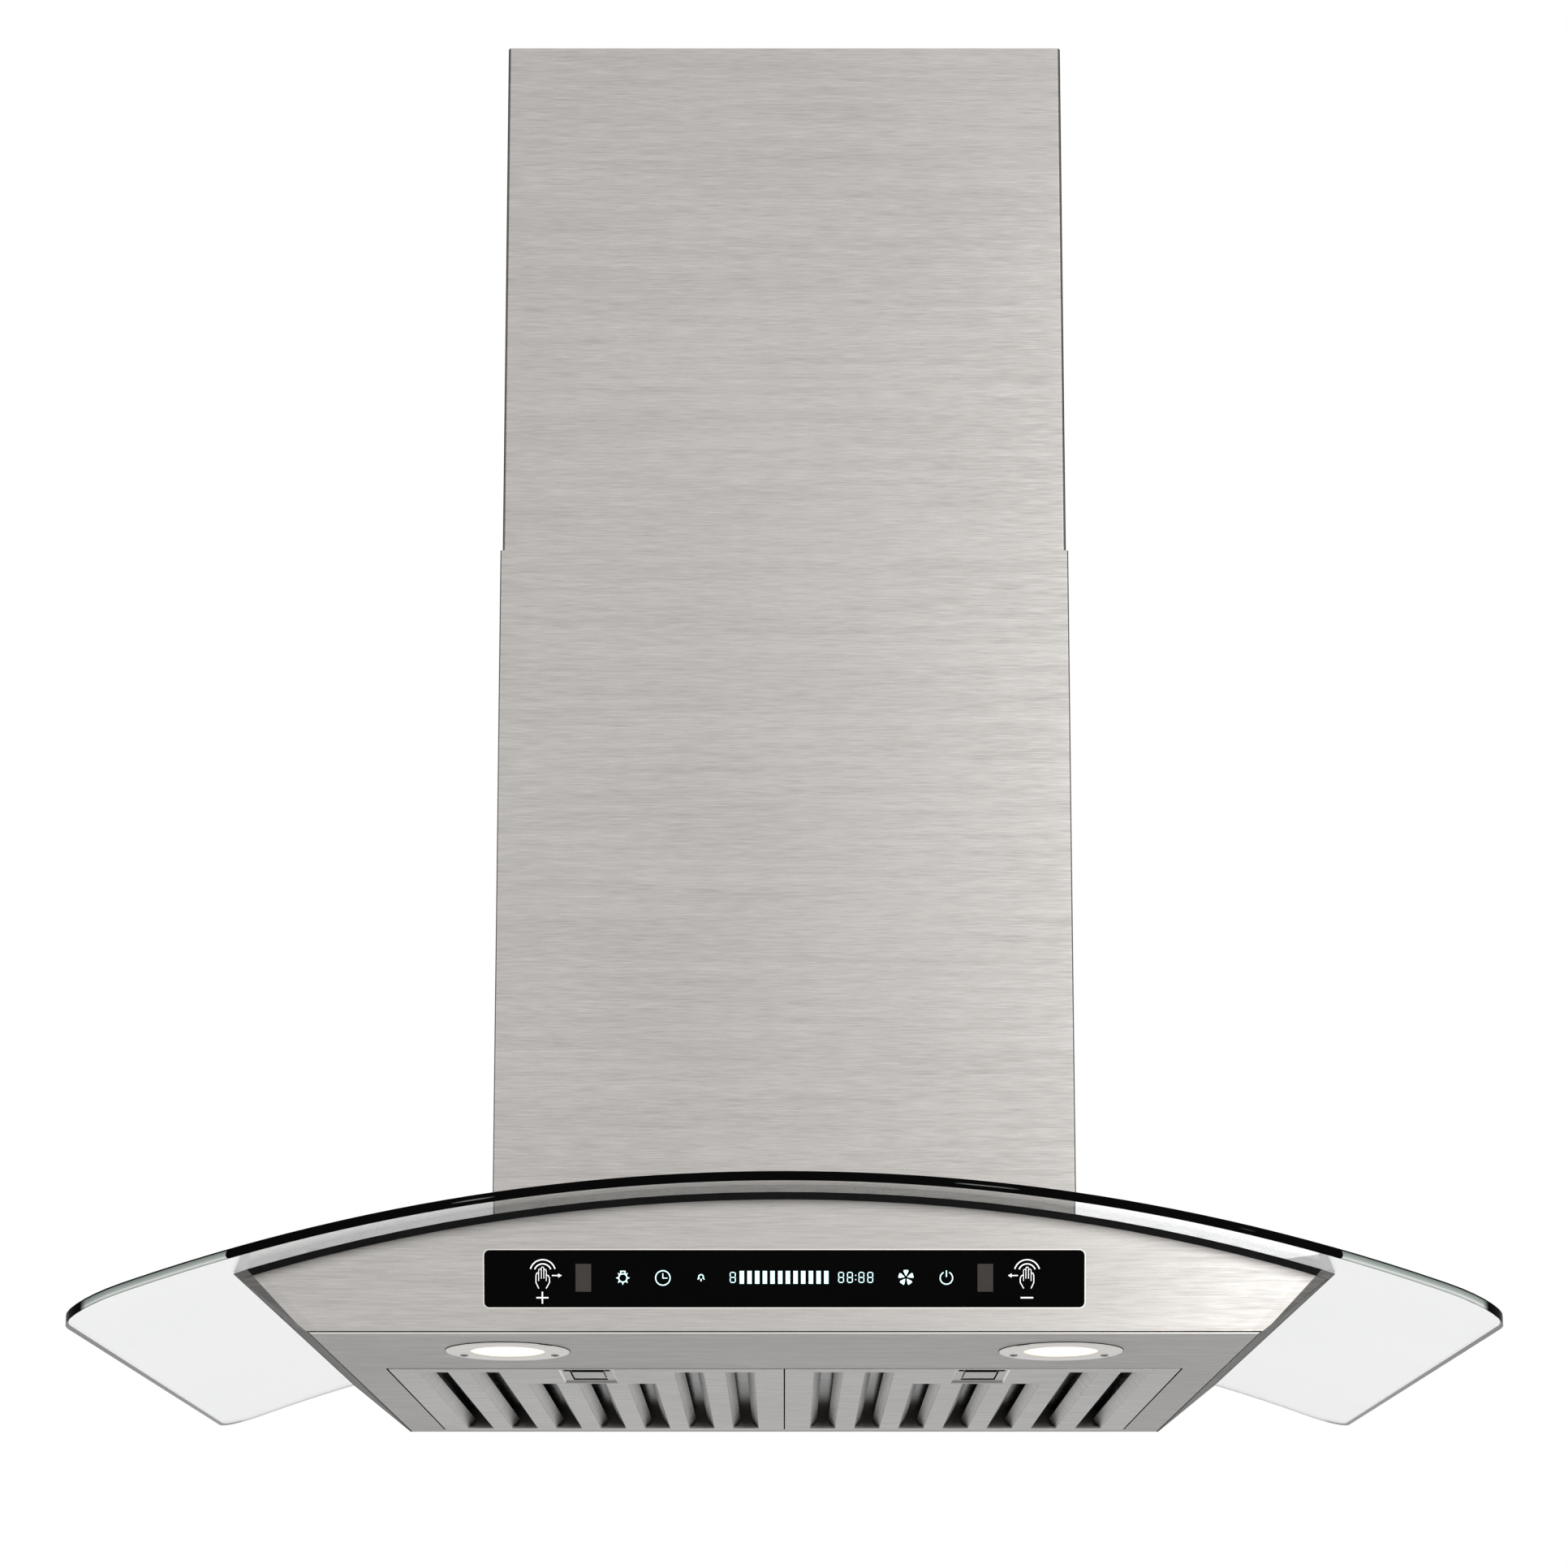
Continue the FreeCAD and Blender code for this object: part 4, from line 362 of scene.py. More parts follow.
def make_patch_group():
    """Light and its surface's colour, each a little dimmer in patches."""
    group, given, result = new_group(
        "light_patches",
        {"Vector": NOUGHT, "Dim Light": grey(0.9), "Light": WHITE, "Dim Base": grey(0.9), "Base": WHITE},
        ("Emission Color", "Base Color"))
    share = spread(group, noise(group, given["Vector"], 60.0, 2.0), 0.3, 0.7)
    feed(group, result, {
        "Emission Color": blend_colours(group, share, given["Dim Light"], given["Light"]),
        "Base Color": blend_colours(group, share, given["Dim Base"], given["Base"])})
    return group


def make_gasket_group():
    """A sheet's colour with a soft shade where it meets the canopy's gasket."""
    group, given, result = new_group("gasket_shade", {"Vector": NOUGHT, "Sheet": grey(0.5)}, ("Base Color",))
    near = spread(group, arc_radius(group, given["Vector"]), GASKET_LOW_RADIUS - GASKET_SHADE_REACH,
                  GASKET_LOW_RADIUS)
    share = math_node(group, "MULTIPLY", near, near, GASKET_SHADE)
    feed(group, result, {"Base Color": blend_colours(group, share, given["Sheet"], BLACK)})
    return group


brushed_group = make_brushed_group()
grain_group = make_grain_group()
wipe_group = make_wipe_group()
patch_group = make_patch_group()
gasket_group = make_gasket_group()


# Materials. A grain's small numbers lie along the brushing, and the large one across it.

UPRIGHT_GRAIN = (55.0, 55.0, 1300.0)
LEVEL_GRAIN = (55.0, 1300.0, 55.0)
EVEN_GRAIN = (400.0, 400.0, 400.0)
STEEL_WARMTH = 0.04
BRUSH_DEPTH = 8e-6


def new_material(name, constants):
    """A material, with its tree, its Principled shader and its object coordinates."""
    material = bpy.data.materials.new(name)
    material.use_nodes = True
    tree = material.node_tree
    shader = tree.nodes["Principled BSDF"]
    feed(tree, shader, constants)
    return material, tree, shader, add_node(tree, "TexCoord", {}, "Object")


def group_material(name, constants, group, values):
    """A material whose colour, roughness and relief come from a node group, with its own values."""
    material, tree, shader, place = new_material(name, constants)
    outputs = add_node(tree, "Group", {"Vector": place, **values}, None, node_tree=group)
    feed(tree, shader, {part.name: part for part in outputs})
    return material


def brushed_steel(name, grain, level, contrast=0.13, smooth=0.24, rough=0.36, edge_tint=1.0, shade=0.0,
                  shade_full=SHADE_FULL):
    """Stainless sheet with a brushed grain.

    A low edge tint darkens the sheet where it is seen along its face. Shade darkens what lies above the
    underside, inside the hood.
    """
    return group_material(
        name, {"Metallic": 1.0, "Specular Tint": grey(edge_tint)}, brushed_group,
        {"Grain": grain, "Dark": grey(level * (1 - contrast), STEEL_WARMTH),
         "Light": grey(level * (1 + contrast), STEEL_WARMTH), "Smooth": smooth, "Rough": rough,
         "Depth": BRUSH_DEPTH, "Shade": shade, "Shade High": underside_z + shade_full})


def shade_under_gasket(material):
    """Paints a soft shadow on a sheet where it meets the canopy's gasket."""
    tree = material.node_tree
    shader = tree.nodes["Principled BSDF"]
    colour = shader.inputs["Base Color"].links[0].from_socket
    place = add_node(tree, "TexCoord", {}, "Object")
    shaded = add_node(tree, "Group", {"Vector": place, "Sheet": colour}, node_tree=gasket_group)
    feed(tree, shader, {"Base Color": shaded})
    return material


def grained(name, dark, light, scale=1500.0, smooth=0.45, rough=0.65, depth=3e-5, metallic=0.0,
            specular=0.5):
    """Plastic, rubber, paint or cast metal with a fine grain."""
    return group_material(
        name, {"Metallic": metallic, "Specular IOR Level": specular}, grain_group,
        {"Scale": scale, "Dark": dark, "Light": light, "Smooth": smooth, "Rough": rough, "Depth": depth})


def galvanised():
    """Zinc coated sheet for the hidden structure: crystal cells of slightly different tone."""
    material, tree, shader, place = new_material("galvanised_sheet", {"Metallic": 0.85})
    cells = add_node(tree, "TexVoronoi", {"Vector": place, "Scale": 170.0}, "Color")
    tint = add_node(tree, "SeparateColor", {0: cells})
    tone = weigh(tree, (tint, 0.5), (noise(tree, place, 24.0), 0.5))
    feed(tree, shader, {
        "Base Color": blend_colours(tree, spread(tree, tone, 0.2, 0.8), (0.36, 0.37, 0.38, 1.0),
                                    (0.52, 0.53, 0.54, 1.0)),
        "Roughness": spread(tree, tone, 0.2, 0.8, 0.48, 0.34)})
    return material


def clear_glass():
    """Clear toughened glass with the faintest green."""
    material, tree, shader, place = new_material(
        "canopy_glass", {"Transmission Weight": 1.0, "IOR": 1.5, "Specular IOR Level": 0.14})
    smears = noise(tree, place, 9.0)
    feed(tree, shader, {
        "Base Color": blend_colours(tree, spread(tree, smears, 0.3, 0.7), (0.90, 0.912, 0.908, 1.0),
                                    (0.925, 0.933, 0.929, 1.0)),
        "Roughness": spread(tree, smears, 0.45, 0.75, 0.0, 0.012)})
    return material


def glass_edge():
    """Polished edge of the canopy: black in the middle of the front, painted grey green reflections outside
    it.

    The rise runs from nought at the glass's lower face to one at its upper face.
    """
    material, tree, shader, place = new_material("canopy_edge", {"IOR": 1.12, "Specular IOR Level": 0.08})
    x, y, _ = axes(tree, place)
    across = math_node(tree, "ABSOLUTE", x)
    rise = spread(tree, arc_radius(tree, place), GLASS_RADIUS - GLASS_THICKNESS, GLASS_RADIUS)

    def band(start, full, fading, end):
        """One between two heights of the edge, with soft limits."""
        return math_node(tree, "MULTIPLY", spread(tree, rise, start, full),
                         spread(tree, rise, fading, end, 1.0, 0.0))

    past = math_node(tree, "SUBTRACT", across, EDGE_BLACK_HALF_WIDTH - EDGE_BLACK_END_R)
    level = math_node(tree, "MULTIPLY", math_node(tree, "SUBTRACT", rise, 0.5), GLASS_THICKNESS)
    reach = length(tree, math_node(tree, "MAXIMUM", past, 0.0), level)
    inside = spread(tree, reach, EDGE_BLACK_END_R - EDGE_BLACK_END_FADE, EDGE_BLACK_END_R, 1.0, 0.0)
    # Painted reflections: black at the tips and dark lines along the top and the sides' lower part.
    tip = spread(tree, across, *EDGE_TIP)
    side = spread(tree, y, *EDGE_SIDE)
    rear = spread(tree, y, *EDGE_REAR, 1.0, 0.0)
    top_line = math_node(tree, "MULTIPLY", spread(tree, rise, 0.80, 0.88),
                         math_node(tree, "SUBTRACT", 1.0, side))
    low_side = math_node(tree, "MULTIPLY", side, spread(tree, rise, 0.40, 0.50, 1.0, 0.0))
    dark = math_node(tree, "MULTIPLY", math_node(tree, "MAXIMUM", inside, tip, low_side, top_line), rear)
    # Painted reflections in grey green, with lighter lines, for what shows through the edge.
    light = blend_colours(tree, spread(tree, rise, 0.35, 0.85), (0.52, 0.57, 0.54, 1.0),
                          (0.24, 0.28, 0.26, 1.0))
    light = blend_colours(tree, spread(tree, rise, 0.02, 0.10), (0.30, 0.34, 0.32, 1.0), light)
    light = blend_colours(tree, band(0.10, 0.16, 0.30, 0.38), light, (0.80, 0.83, 0.81, 1.0))
    light = blend_colours(tree, side, light, (0.84, 0.87, 0.85, 1.0))
    light = blend_colours(tree, rear, (0.86, 0.89, 0.87, 1.0), light)
    # Painted glints: thin light streaks on the black.
    painted_glint_streaks = spread(tree, noise(tree, stretched(tree, place, (15.0, 0.0, 0.0)), 1.0, 1.0), 0.60, 0.68)
    painted_glint_mask = math_node(tree, "MULTIPLY", painted_glint_streaks, band(0.42, 0.46, 0.52, 0.56), inside)
    black = blend_colours(tree, painted_glint_mask, grey(0.003), grey(0.3))
    feed(tree, shader, {
        "Base Color": blend_colours(tree, dark, light, black),
        "Roughness": spread(tree, noise(tree, place, 30.0, 2.0), 0.3, 0.7, 0.05, 0.12)})
    return material


def gloss_black(name, dark, light, specular):
    """Black glass with hardly visible wipe marks in its gloss."""
    return group_material(name, {"Specular IOR Level": specular}, wipe_group, {"Dark": dark, "Light": light})


def lit(name, colour, strength, base, patches):
    """A surface that gives light, a little less of it in patches."""
    return group_material(
        name, {"Roughness": 0.35, "Emission Strength": strength}, patch_group,
        {"Dim Light": dimmed(colour, 1 - patches), "Light": colour, "Dim Base": dimmed(base, 0.94),
         "Base": base})


def lamp_lens():
    """Frosted lens, brightest in the middle and dimmer towards its rim."""
    material, tree, shader, place = new_material(
        "lamp_lens_lit", {"Roughness": 0.3, "Emission Strength": 1.0})
    x, y, _ = axes(tree, place)
    across = math_node(tree, "SUBTRACT", math_node(tree, "ABSOLUTE", x), LAMP_SPREAD)
    far = length(tree, across, math_node(tree, "ADD", y, LAMP_DEPTH))
    share = spread(tree, far, LAMP_LENS_R * 0.45, LAMP_LENS_R * 0.98)
    feed(tree, shader, {
        "Emission Color": blend_colours(tree, share, (1.0, 0.93, 0.80, 1.0), (0.85, 0.70, 0.50, 1.0)),
        "Base Color": blend_colours(tree, share, (0.8, 0.78, 0.72, 1.0), (0.7, 0.67, 0.6, 1.0))})
    return material


chimney_steel = brushed_steel("chimney_steel", UPRIGHT_GRAIN, 0.45, contrast=0.18, edge_tint=0.35)
body_steel = shade_under_gasket(
    brushed_steel("body_steel", UPRIGHT_GRAIN, 0.51, contrast=0.16, edge_tint=0.5))
side_steel = shade_under_gasket(brushed_steel("side_steel", UPRIGHT_GRAIN, 0.48, edge_tint=0.06))
# Painted shade: a darker copy of the steel for the covers' front folds.
fold_shade_steel = brushed_steel("fold_shade_steel", UPRIGHT_GRAIN, 0.12, contrast=0.2, edge_tint=0.03)
# Painted shade: darker copies of the side steel for the facets, the right one darker still.
facet_shade_steel = brushed_steel("facet_shade_steel", UPRIGHT_GRAIN, 0.14, contrast=0.2)
right_facet_deep_shade = brushed_steel("right_facet_deep_shade", UPRIGHT_GRAIN, 0.07, contrast=0.2)
# Painted highlight: a bright steel ribbon for the lit edge of the fascia's window.
window_edge_highlight = brushed_steel("window_edge_highlight", UPRIGHT_GRAIN, 0.85, contrast=0.03)
# Painted highlight: a lighter steel for the panel's front edge, the plate's front edge and pocket slopes.
seam_highlight_steel = brushed_steel("seam_highlight_steel", UPRIGHT_GRAIN, 0.66, contrast=0.05)
# Painted shade: the underside and filter steels are the body's stainless at half its level, as they face
# down.
underside_steel = brushed_steel("underside_steel", LEVEL_GRAIN, 0.245, 0.08, 0.28, 0.42, shade=0.9)
filter_steel = brushed_steel("filter_steel", LEVEL_GRAIN, 0.25, 0.08, 0.22, 0.34, shade=0.7)
plate_steel = brushed_steel("filter_plate_steel", LEVEL_GRAIN, 0.25, 0.08, 0.22, 0.34)
# The filters' top and outer faces take that stainless at full level, without the painted shade.
open_steel = brushed_steel("filter_top_steel", LEVEL_GRAIN, 0.5, 0.08)
# Painted shade: a near black steel for walls in gaps and holes, where only shade shows.
gap_painted_shade = brushed_steel("gap_painted_shade", LEVEL_GRAIN, 0.01, 0.2, edge_tint=0.05)
latch_steel = brushed_steel("latch_steel", LEVEL_GRAIN, 0.40, 0.06, 0.2, 0.32, shade=1.0,
                            shade_full=LATCH_SHADE_FULL)
trim_steel = brushed_steel("lamp_trim", LEVEL_GRAIN, 0.68, 0.04, 0.3, 0.42)
screw_dark = brushed_steel("screw_dark", EVEN_GRAIN, 0.09, smooth=0.2, rough=0.3)
plated = brushed_steel("plated_screw", EVEN_GRAIN, 0.55, smooth=0.18, rough=0.28)
bright_wire = brushed_steel("bright_wire", EVEN_GRAIN, 0.5, smooth=0.15, rough=0.25)
zinc_sheet = galvanised()
canopy_glass = clear_glass()
canopy_edge = glass_edge()
panel_black = gloss_black("panel_black", grey(0.0006), grey(0.0012), 0.03)
sensor_tint = gloss_black("sensor_tint", (0.055, 0.048, 0.043, 1.0), (0.065, 0.058, 0.052, 1.0), 0.2)
symbol_light = lit("symbol_light", (0.62, 0.95, 0.97, 1.0), 0.85, (0.7, 0.95, 0.97, 1.0), 0.08)
# Painted light: the printed marks glow a little, though they are no lamp.
glowing_print = lit("glowing_print", (0.92, 0.93, 0.93, 1.0), 0.7, (0.9, 0.9, 0.9, 1.0), 0.05)
lens_lit = lamp_lens()
seal_rubber = grained("seal_rubber", grey(0.005), grey(0.010), 900.0, 0.5, 0.7, specular=0.08)
black_plastic = grained("black_plastic", grey(0.022), grey(0.036))
grey_plastic = grained("grey_plastic", grey(0.30), grey(0.38))
board_green = grained("board_green", (0.015, 0.10, 0.045, 1.0), (0.025, 0.15, 0.07, 1.0), 600.0, 0.3, 0.5)
motor_paint = grained("motor_paint", grey(0.05), grey(0.075), 700.0, 0.35, 0.5)
cast_metal = grained("cast_metal", grey(0.42), grey(0.54), 800.0, 0.4, 0.55, 4e-5, 1.0)


def paint(material, *nodes):
    """Gives nodes of the frame a finish in place of their plain one."""
    for node in nodes:
        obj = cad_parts[node]
        if not obj.material_slots:
            obj.data.materials.append(material)
        for place in obj.material_slots:
            place.material = material


paint(zinc_sheet, "top_plate", "inner_divider", "clamp_frame", "hang_plate", "blower_housing", "housing_top",
      "volute_shell", "volute_side_left", "volute_side_right", "impeller", "chimney_feet", "ceiling_bracket",
      "motor_bracket", "back_panel")
paint(seal_rubber, "opening_gaskets", "motor_bushes")
paint(black_plastic, "control_tray", "power_box", "power_box_lid", "cable_gland", "damper_flap_front",
      "damper_flap_rear")
paint(grey_plastic, "outlet_collar", "capacitor")
paint(cast_metal, "lamp_body_left", "lamp_body_right")
paint(board_green, "display_board", "power_board")
paint(sensor_tint, "gesture_sensors")
paint(motor_paint, "motor")
paint(plated, "glass_screws", "housing_screws", "damper_pins", "motor_shaft")


# Pieces


def add_object(name, data):
    """An object of the scene, at the origin."""
    obj = bpy.data.objects.new(name, data)
    bpy.context.scene.collection.objects.link(obj)
    return obj


def finish_piece(name, bm, materials, body, replaced=(), sharp=SHARP_ANGLE):
    """Makes a piece from its finished mesh, sets it on its body's empty and hides the nodes that it replaces.
    """
    mesh = bpy.data.meshes.new(name)
    bm.to_mesh(mesh)
    bm.free()
    for material in materials:
        mesh.materials.append(material)
    for face in mesh.polygons:
        face.use_smooth = True
    mesh.set_sharp_from_angle(angle=sharp)
    obj = add_object(name, mesh)
    weighted = obj.modifiers.new("even_normals", "WEIGHTED_NORMAL")
    weighted.keep_sharp = True
    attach(obj, body)
    if replaced:
        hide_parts(*replaced)
    return obj


def turn_outwards(bm):
    """Makes a closed shape's faces point outwards."""
    bmesh.ops.recalc_face_normals(bm, faces=bm.faces)


def new_verts(made):
    """The vertices that an extrusion made."""
    return [item for item in made["geom"] if isinstance(item, bmesh.types.BMVert)]


def join_flat_faces(bm):
    """Joins faces that lie in one plane."""
    bmesh.ops.dissolve_limit(bm, angle_limit=FLAT_ANGLE, use_dissolve_boundaries=False, verts=bm.verts,
                             edges=bm.edges, delimit={"NORMAL"})


def bevel_edges(bm, edges, width, segments=2, material=-1):
    """Rounds edges off."""
    bmesh.ops.bevel(bm, geom=edges, offset=width, offset_type="OFFSET", affect="EDGES", segments=segments,
                    profile=0.5, material=material, clamp_overlap=True)


def sharp_edges(bm, angle=SHARP_ANGLE):
    """Edges where two faces meet at more than an angle."""
    return [edge for edge in bm.edges if len(edge.link_faces) == 2 and edge.calc_face_angle(0.0) > angle]


def dressed(node, body, material, ease, segments=2, shape=None, mark=None, marked=(), keep=None):
    """A node's own shape with its edges eased, which stands for the node.

    Shape changes the mesh first, and keep picks edges that stay sharp. Mark gives nought for a face with the
    node's own material, or the number of one of the marked materials.
    """
    bm = bmesh.new()
    bm.from_mesh(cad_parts[node].data)
    bmesh.ops.remove_doubles(bm, verts=bm.verts, dist=WELD)
    if shape:
        shape(bm)
    join_flat_faces(bm)
    bm.normal_update()
    bevel_edges(bm, [edge for edge in sharp_edges(bm) if not (keep and keep(edge))], ease, segments)
    bm.normal_update()
    if mark:
        for face in bm.faces:
            face.material_index = mark(face)
    obj = finish_piece(node + "_finished", bm, (material,) + marked, body, (node,))
    if "custom_normal" in obj.data.attributes:
        obj.data.attributes.remove(obj.data.attributes["custom_normal"])


def lift_fascia_foot(bm):
    """Raises the lower edge of the fascia or a side panel, which leaves a fine dark gap below it."""
    for vert in bm.verts:
        if vert.co.z < underside_z + SEAM_ZONE and vert.co.y < -UNDERSIDE_FRONT:
            vert.co += Vector((0, -math.tan(FASCIA_LEAN) * SEAM_LIFT, SEAM_LIFT))


def reach_to_seam(bm):
    """Brings the panel's front edge out to the fascia's face."""
    for vert in bm.verts:
        if vert.co.y < -UNDERSIDE_FRONT and abs(vert.co.x) > LAMP_SPREAD:
            vert.co += Vector((-math.copysign(SEAM_REACH, vert.co.x), -SEAM_REACH, 0))


def panel_mark(face):
    """One for the panel's front edge and its rounding, two for the sides of the filters' opening."""
    middle = face.calc_center_median()
    # The panel's front edge and rounding take a painted highlight, the sides of the opening painted shade.
    if face.normal.y < -0.3 and middle.y < -UNDERSIDE_FRONT:
        return 1
    beside_filter = abs(abs(middle.x) - FILTER_SIDE) < 1.5 * MARGIN and middle.y > -FILTER_FRONT
    return 2 if beside_filter and abs(face.normal.x) > 0.5 else 0


def draw_filter_plate(bm):
    """Lowers the plate a little below the panel, draws its outer side in and slopes the pocket's sides."""
    for vert in bm.verts:
        if abs(vert.co.x) > FILTER_SIDE - FILTER_SHEET / 2:
            vert.co.x -= math.copysign(FILTER_SIDE_GAP, vert.co.x)
        if vert.co.z < underside_z + WELD:
            vert.co.z -= FILTER_PROUD
    join_flat_faces(bm)
    low = underside_z - FILTER_PROUD / 2
    rims = [edge for edge in bm.edges if all(
        vert.co.z < low and abs(abs(abs(vert.co.x) - FILTER_MIDDLE) - POCKET_HALF_WIDTH) < WELD
        for vert in edge.verts)]
    bevel_edges(bm, rims, POCKET_SLOPE, 1)


def plate_mark(face):
    """One for the walls of the plate's gaps and holes, two for its front edge and the pocket's slopes."""
    middle = face.calc_center_median()
    across = abs(abs(middle.x) - FILTER_MIDDLE)
    # Ones take painted shade in gaps and holes, twos a painted highlight on the front edge and pocket slopes.
    if abs(middle.x) > FILTER_SIDE - FILTER_SIDE_GAP * 2 and abs(face.normal.x) > 0.5:
        return 1
    if middle.y < -FILTER_FRONT + FILTER_SHEET / 2 and face.normal.y < -0.3:
        return 2
    in_hole = across < FINGER_HALF_WIDTH + WELD and -POCKET_FRONT < middle.y < -BUTTON_FRONT + MARGIN
    along_way = -BUTTON_FRONT - MARGIN < middle.y < -BUTTON_WAY_REAR + MARGIN
    in_way = across < BUTTON_WAY_HALF + WELD and along_way
    if (in_hole or in_way) and abs(face.normal.z) < 0.5:
        return 1
    beside_pocket = abs(across - POCKET_HALF_WIDTH) < POCKET_SLOPE and -POCKET_FRONT < middle.y < -POCKET_REAR
    return 2 if beside_pocket and 0.3 < abs(face.normal.x) < 0.9 else 0


def frame_mark(face):
    """One for the frame's lower rim, which shows beside the plate, two for its outer and top faces."""
    middle = face.calc_center_median()
    # The lower rim takes painted shade, the outer and top faces the filter steel without it.
    if face.normal.z < -0.5 and middle.z < underside_z + FILTER_SHEET * 2:
        return 1
    half_sheet = FILTER_SHEET / 2
    within = abs(abs(middle.x) - FILTER_MIDDLE) < FILTER_SIDE - FILTER_MIDDLE - half_sheet
    within = within and middle.y > -FILTER_FRONT + half_sheet and face.normal.z < 0.5
    return 0 if within else 2


def baffle_mark(face):
    """One for the outer faces of the upper channels, which reach up to their tops."""
    # These faces take the filter steel at full level, without its painted shade.
    return int(max(vert.co.z for vert in face.verts) > underside_z + BAFFLE_TOP - FILTER_SHEET / 2)


def sink_button(bm):
    """Sets the latch's button into its way, with its front face sloping back."""
    for vert in bm.verts:
        if vert.co.z < underside_z:
            vert.co.z = underside_z + BUTTON_DEPTH
            if vert.co.y < -BUTTON_FRONT + MARGIN:
                vert.co.y += BUTTON_SETBACK


def add_latch_spring(side_name):
    """The latch's spring, a copy of the node's mesh on its filter, with a mesh of its own."""
    node = "latch_spring_" + side_name
    bm = bmesh.new()
    bm.from_mesh(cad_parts[node].data)
    obj = finish_piece(node + "_finished", bm, (bright_wire,), "filter_" + side_name, (node,))
    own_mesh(obj)


def latch_mark(face):
    """One for the button's front face, which takes painted shade for the shade of the finger hole."""
    return int(face.normal.y < -0.1)


def gasket_mark(face):
    """One or two for the gasket's outer faces at the body's left or right, covered by steel in painted shade.
    """
    middle = face.calc_center_median()
    if abs(middle.x) < GASKET_CORNER or abs(face.normal.z) > 0.7:
        return 0
    return 1 if middle.x < 0 else 2


def facet_mark(face):
    """One for the narrow facet between the fascia and a side, which takes painted shade."""
    return int(face.normal.y < -0.7 and abs(face.normal.x) > 0.08)


def is_fascia_joint(edge):
    """True for a steep edge in the fascia's face, where the fascia and a side panel meet."""
    foot = Vector((0, -PANEL_FOOT_DEPTH, underside_z))
    normal = Vector((0, -math.cos(FASCIA_LEAN), -math.sin(FASCIA_LEAN)))
    if any(abs((vert.co - foot).dot(normal)) > 0.05 * MM for vert in edge.verts):
        return False
    way = edge.verts[1].co - edge.verts[0].co
    outer = min(abs(vert.co.x) for vert in edge.verts) > PANEL_HALF_WIDTH * 1.3
    return outer and abs(way.z) > abs(way.x) * 0.5


def arc_line(x, y, radius, start, end, steps=20):
    """Points along part of a circle, with angles in degrees."""
    points = []
    for step in range(steps + 1):
        angle = math.radians(start + (end - start) * step / steps)
        points.append((x + radius * math.cos(angle), y + radius * math.sin(angle)))
    return points


def rounded_outline(half_width, front, rear, front_corner, rear_corner, steps=8):
    """Points round a plan with round corners, from its rear right one."""
    points = []
    corners = ((1, rear, -rear_corner), (-1, rear, -rear_corner), (-1, front, front_corner),
               (1, front, front_corner))
    for quarter, (side, edge, inset) in enumerate(corners):
        radius = abs(inset)
        points += arc_line(side * (half_width - radius), edge + inset, radius, quarter * 90,
                           quarter * 90 + 90, steps)
    return points


def add_loop(bm, points):
    """A closed ring of edges through points of a plan."""
    verts = [bm.verts.new((x, y, 0)) for x, y in points]
    return [bm.edges.new((verts[i - 1], verts[i])) for i in range(len(verts))]


def make_canopy():
    """Bent glass with rounded plan corners, the air way and polished edges."""
    bm = bmesh.new()
    edges = add_loop(bm, rounded_outline(glass_high.x, glass_low.y, glass_high.y, GLASS_FRONT_CORNER,
                                         GLASS_REAR_CORNER))
    edges += add_loop(bm, rounded_outline(AIRWAY_HALF_WIDTH, -AIRWAY_FRONT, -AIRWAY_REAR, AIRWAY_CORNER,
                                          AIRWAY_CORNER))
    bmesh.ops.triangle_fill(bm, use_beauty=True, use_dissolve=False, edges=edges, normal=(0, 0, 1))
    step = glass_high.x * 2 / GLASS_COLUMNS
    for column in range(1, GLASS_COLUMNS):
        bmesh.ops.bisect_plane(bm, geom=bm.verts[:] + bm.edges[:] + bm.faces[:], dist=1e-7,
                               plane_co=(-glass_high.x + step * column, 0, 0), plane_no=(1, 0, 0))
    low_verts = set(new_verts(bmesh.ops.extrude_face_region(bm, geom=bm.faces[:])))
    for vert in bm.verts:
        radius = GLASS_RADIUS - GLASS_THICKNESS if vert in low_verts else GLASS_RADIUS
        vert.co.z = arc_z(radius, vert.co.x)
    turn_outwards(bm)
    for face in bm.faces:
        face.material_index = int(abs(face.normal.z) < 0.15)
    rims = [edge for edge in bm.edges if len([f for f in edge.link_faces if f.material_index]) == 1]
    bevel_edges(bm, rims, GLASS_EDGE_ROUND, 3, 1)
    for face in bm.faces:
        middle = face.calc_center_median()
        beside_airway = abs(middle.x) < AIRWAY_HALF_WIDTH + AIRWAY_MARGIN
        if beside_airway and -AIRWAY_FRONT - AIRWAY_MARGIN < middle.y < -MARGIN:
            face.material_index = 0
    finish_piece("glass_canopy_polished", bm, [canopy_glass, canopy_edge], "hood",
                 ("glass_canopy",), GLASS_SHARP_ANGLE)


def cover_outline(half_width, front, rear, fold):
    """Plan of a cover's outer face: a return, a side, the front, a side and a return."""
    centre = half_width - fold
    right = [(half_width - COVER_RETURN, rear)]
    right += arc_line(centre, rear - fold, fold, 90, 0, 4)
    right += arc_line(centre, front + fold, fold, 0, -90, 6)
    middle = [(centre * (1 - 2 * column / COVER_COLUMNS), front) for column in range(1, COVER_COLUMNS)]
    return right + middle + [(-x, y) for x, y in reversed(right)]


